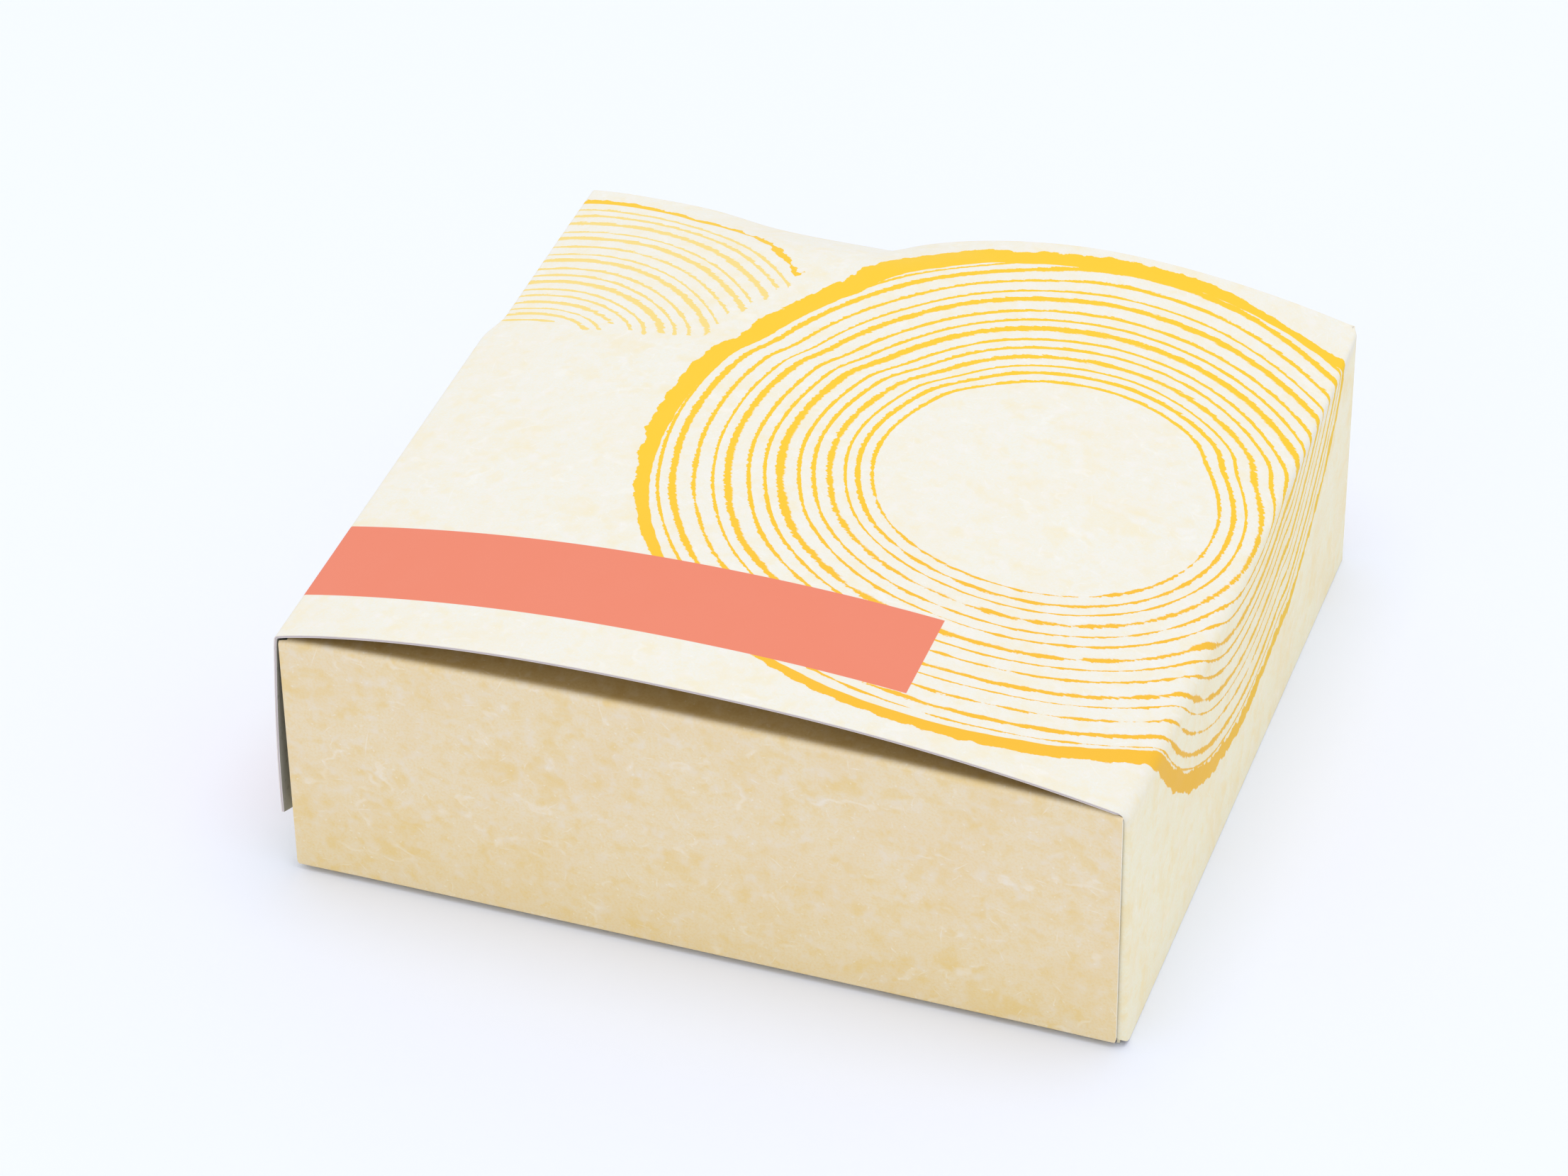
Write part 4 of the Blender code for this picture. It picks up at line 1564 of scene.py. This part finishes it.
@dataclass(frozen=True)
class Zone:
    """A stretch of a board in another tone of the print, faded in over a short way; on the tuck flaps and
    the sides that tone is painted shade.

    Attributes:
        paper: The print there.
        axis: The axis of the flat board along which it is set off.
        full: Distance where it is whole.
        none: Distance where it has faded out.
    """

    paper: MulberryPrint
    axis: str
    full: float
    none: float

    def over(self, colour: Signal, place: Signal) -> Signal:
        """Print this stretch's own paper over the board's colour.

        Args:
            colour: The colour under it.
            place: Place on the board, in millimetres.

        Returns:
            The colour with this stretch.
        """
        parts = add_node(place.tree, "ShaderNodeSeparateXYZ", {"Vector": place}, out=self.axis)
        low, high = sorted((self.full, self.none))
        reached = parts.step(low, high, float(self.full < self.none), float(self.full > self.none))
        return reached.between(colour, self.paper.colour(place))


@dataclass(frozen=True)
class PrintedBoard:
    """The printed face of a board: paper print, then ring figures, then the band, all under one varnish."""

    name: str
    paper: MulberryPrint
    zones: tuple[Zone, ...] = ()
    figures: tuple[GrowthRings, ...] = ()
    bands: tuple[Band, ...] = ()
    ground: Ground = Ground.FLAT_BOARD

    def material(self) -> bpy.types.Material:
        """Make the printed face's material.

        Returns:
            The material, dressed with its prints from the lowest to the highest.
        """
        material, shader, place = VARNISHED.material(self.ground)
        material.name = self.name
        colour = self.paper.colour(place)
        for zone in self.zones:
            colour = zone.over(colour, place)
        for ink in (*self.figures, *self.bands):
            colour = ink.over(colour, place)
        place.tree.links.new(colour.socket, shader.inputs["Base Color"])
        return material


@dataclass(frozen=True)
class BoardBack:
    """The unprinted inner face of the board, with flecks of recycled fibre."""

    # The grey is set darker than the board's own back: partly the board's real grey, partly painted shade
    # for the gap behind the loose flap.
    pale: str = "#b3b0a4"
    fleck: str = "#9a978b"
    fleck_size: float = 1.3

    # Noise between which a fleck begins and is full.
    FLECKED = (0.56, 0.72)

    def material(self) -> bpy.types.Material:
        """Make the inner face's material.

        Returns:
            The material.
        """
        material, shader, place = UNCOATED.material(Ground.FLAT_BOARD)
        fleck = place.noise(self.fleck_size, detail=5.0, shift=77.0).step(*self.FLECKED)
        colour = fleck.between(linear(self.pale), linear(self.fleck))
        place.tree.links.new(colour.socket, shader.inputs["Base Color"])
        return material


@dataclass(frozen=True)
class CutEdge:
    """The board's raw edge, seen in its plies from the printed skin to the back."""

    skin: str = "#e9e0cc"
    fibre: str = "#ddd5d4"
    middle: str = "#bfb4b5"

    # Size in millimetres and depth, as a share of the board's thickness, of the plies' ragged borders.
    RAGGED_SIZE, RAGGED = 0.9, 0.25
    # Depths between which the skin ends, depth of the middle ply, and half widths of that ply.
    SKIN_END = (0.05, 0.15)
    MIDDLE_DEPTH = 0.55
    MIDDLE_HALF = (0.12, 0.3)

    def material(self) -> bpy.types.Material:
        """Make the cut edge's material.

        Returns:
            The material, whose depth in the board comes from the mesh.
        """
        material, shader, place = DIE_CUT.material(Ground.FLAT_BOARD)
        depth = add_node(place.tree, "ShaderNodeAttribute", out="Fac", attribute_name=PLY)
        ragged = depth + place.waver(self.RAGGED, self.RAGGED_SIZE, detail=3.0, shift=12.0)
        colour = ragged.step(*self.SKIN_END).between(linear(self.skin), linear(self.fibre))
        core = (ragged - self.MIDDLE_DEPTH).number("ABSOLUTE").step(*self.MIDDLE_HALF, 1.0, 0.0)
        colour = core.between(colour, linear(self.middle))
        place.tree.links.new(colour.socket, shader.inputs["Base Color"])
        return material


def cover(piece: bpy.types.Object, printed: PrintedBoard, back: BoardBack, edge: CutEdge) -> None:
    """Give a board the materials of its three plies, in the order of Ply."""
    for finish in (printed, back, edge):
        piece.data.materials.append(finish.material())


@dataclass
class Wrap:
    """The wrap as it shows: loose flap, arched top with its ring figures and band, and right wall.

    Attributes:
        board: The board under the prints.
        back: Its inner face.
        edge: Its cut edges.
        wall_fade: Distances over the flat board where the wall's deeper tone, painted shade beside the paler
            lit top, is whole and has faded out.
        flap_fade: The same for the flap.
    """

    board: WrapBoard
    back: BoardBack
    edge: CutEdge
    wall_fade: tuple[float, float] = (162.0, 157.0)
    flap_fade: tuple[float, float] = (-2.0, 0.0)

    def make(self) -> bpy.types.Object:
        """Build and dress the wrap, in the place of its solid.

        Returns:
            The piece.
        """
        piece = self.board.sheet().build()
        # The wall and the flap take the wall's deeper tone: painted shade beside the lit top.
        sides = tuple(Zone(WALL_PAINTED_SHADE_PAPER, "X", *fade) for fade in (self.wall_fade, self.flap_fade))
        printed = PrintedBoard("matt_varnished_wrap_print", LID_PAINTED_LIGHT_PAPER, sides, (BRANCH, TRUNK), (SASH,))
        cover(piece, printed, self.back, self.edge)
        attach(piece, BODY)
        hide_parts("lid_wrap")
        return piece


@dataclass
class Strip:
    """The base strip as it shows: front and back panels, underside, and tuck flaps under the top.

    Attributes:
        board: The board under the prints.
        back: Its inner face.
        edge: Its cut edges.
        foot_fade: How far down a panel the warmer paper of its foot begins.
        tuck_painted_shade_fade: How far past the tuck flaps' depth their painted shade, a deep brown tone of
            the print, is whole and has faded out.
    """

    board: BaseStrip
    back: BoardBack
    edge: CutEdge
    foot_fade: float = 22.0
    tuck_painted_shade_fade: tuple[float, float] = (-1.2, 1.0)

    def make(self) -> bpy.types.Object:
        """Build and dress the strip, in the place of its solid.

        Returns:
            The piece.
        """
        sheet = self.board.sheet()
        piece = sheet.build()
        length = float(sheet.flat[..., 1].max())
        tuck = self.board.tuck_depth
        foot = (tuck + self.board.form.wall_height, tuck + self.foot_fade)
        flap = tuple(tuck + fade for fade in self.tuck_painted_shade_fade)
        zones = (
            Zone(PANEL_FOOT_PAPER, "Y", *foot),
            Zone(PANEL_PAINTED_SHADE_PAPER, "Y", length - foot[1], length - foot[0]),
            # The tuck flaps take the deep brown tone: painted shade under the top's front and back edges.
            Zone(TUCK_PAINTED_SHADE_PAPER, "Y", *flap),
            Zone(TUCK_PAINTED_SHADE_PAPER, "Y", length - flap[0], length - flap[1]),
        )
        # The panels' deeper tone is painted shade next to the lit top.
        printed = PrintedBoard("matt_varnished_panel_print", PANEL_PAINTED_SHADE_PAPER, zones)
        cover(piece, printed, self.back, self.edge)
        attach(piece, BODY)
        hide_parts("base_strip")
        return piece


@dataclass
class InnerWalls:
    """The solid inside of the carton, whose left face shows below and behind the loose flap."""

    node: str = "inner_block"

    def dress(self) -> bpy.types.Object:
        """Give the solid the same printed paper as the boards round it, in the wall's deeper tone of painted
        shade.

        Returns:
            The piece.
        """
        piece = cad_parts[self.node]
        printed = PrintedBoard("matt_varnished_side_print", WALL_PAINTED_SHADE_PAPER, ground=Ground.LEFT_WALL)
        piece.data.materials.clear()
        piece.data.materials.append(printed.material())
        return piece


@dataclass
class Studio:
    """A plain pale floor under soft light from all round and a broad lamp overhead.

    Places are metres from the carton's own origin.
    """

    floor_radius: float = 12.0
    floor_sides: int = 96
    floor_roughness: float = 0.9
    floor_gloss: float = 0.1
    floor_cloud: float = 0.6
    floor_cloud_step: tuple[float, float] = (0.3, 0.7)
    floor_white: str = "#edf2fd"
    floor_shade: str = "#ebf0fd"
    sky: float = 0.87
    lamp_power: float = 30.0
    lamp_size: float = 2.6
    lamp_place: tuple[float, float, float] = (0.26, -0.06, 3.15)
    lamp_aim: tuple[float, float, float] = (0.078, 0.076, 0.03)
    lens: float = 123.67
    sensor: float = 36.0
    clip: tuple[float, float] = (0.05, 100.0)
    camera_place: tuple[float, float, float] = (0.34206, -0.68151, 0.6360)
    camera_turn: tuple[float, float, float] = (52.86, 0.79, 19.28)

    def origin(self) -> Vector:
        """The carton's own origin in the frame."""
        return Vector(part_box("base_strip")[0])

    def make_floor(self) -> bpy.types.Object:
        """Lay the floor.

        Returns:
            The floor.
        """
        turns = np.arange(self.floor_sides) * (2.0 * math.pi / self.floor_sides)
        ring = np.stack((np.cos(turns), np.sin(turns), np.zeros_like(turns)), axis=-1) * self.floor_radius
        mesh = bpy.data.meshes.new("studio_floor")
        mesh.from_pydata(ring.tolist(), [], [tuple(range(self.floor_sides))])
        floor = bpy.data.objects.new("studio_floor", mesh)
        bpy.context.scene.collection.objects.link(floor)
        # Matt background paper: smooth and a little cool, with hardly any gloss.
        material = bpy.data.materials.new("matt_background_paper")
        material.use_nodes = True
        tree = material.node_tree
        shader = tree.nodes["Principled BSDF"]
        shader.inputs["Roughness"].default_value = self.floor_roughness
        shader.inputs["Specular IOR Level"].default_value = self.floor_gloss
        place = add_node(tree, "ShaderNodeTexCoord", out="Object")
        cloud = place.noise(self.floor_cloud, detail=2.0, shift=3.0).step(*self.floor_cloud_step)
        colour = cloud.between(linear(self.floor_white), linear(self.floor_shade))
        tree.links.new(colour.socket, shader.inputs["Base Color"])
        mesh.materials.append(material)
        return floor

    def make_light(self) -> None:
        """Hang the soft lamp and fill the room with even light."""
        lamp = bpy.data.lights.new("soft_lamp", "AREA")
        lamp.shape = "DISK"
        lamp.size = self.lamp_size
        lamp.energy = self.lamp_power
        hung = bpy.data.objects.new("soft_lamp", lamp)
        hung.location = self.origin() + Vector(self.lamp_place)
        aim = self.origin() + Vector(self.lamp_aim) - hung.location
        hung.rotation_euler = aim.to_track_quat("-Z", "Y").to_euler()
        bpy.context.scene.collection.objects.link(hung)
        world = bpy.data.worlds.new("bright_room")
        world.use_nodes = True
        sky = world.node_tree.nodes["Background"]
        sky.inputs["Color"].default_value = (1.0, 1.0, 1.0, 1.0)
        sky.inputs["Strength"].default_value = self.sky
        bpy.context.scene.world = world

    def make_camera(self) -> None:
        """Set up the camera at the photograph's place, with a long lens."""
        data = bpy.data.cameras.new("camera")
        data.lens = self.lens
        data.sensor_width = self.sensor
        data.clip_start, data.clip_end = self.clip
        camera = bpy.data.objects.new("camera", data)
        camera.location = self.origin() + Vector(self.camera_place)
        camera.rotation_euler = Euler([math.radians(turn) for turn in self.camera_turn], "XYZ")
        bpy.context.scene.collection.objects.link(camera)
        bpy.context.scene.camera = camera
        bpy.context.scene.view_settings.view_transform = "Standard"


def main() -> None:
    """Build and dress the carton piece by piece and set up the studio."""
    logging.basicConfig(level=logging.INFO, format="%(name)s: %(message)s")
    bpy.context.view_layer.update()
    studio = Studio()
    studio.make_camera()
    form = CartonForm()
    back = BoardBack()
    # The strip's cut edges are a near-white copy of the die-cut edge: painted light where the panel's right
    # edge catches the light.
    painted_light_edge = CutEdge(skin="#fbf5e4", fibre="#fbf6e8", middle="#f4ecda")
    for maker in (Wrap(WrapBoard(form), back, CutEdge()), Strip(BaseStrip(form), back, painted_light_edge)):
        piece = maker.make()
        log.info("%s: %d faces", piece.name, len(piece.data.polygons))
    block = InnerWalls().dress()
    log.info("%s: %d faces kept from the solid", block.name, len(block.data.polygons))
    studio.make_floor()
    studio.make_light()


if __name__ == "__main__":
    main()
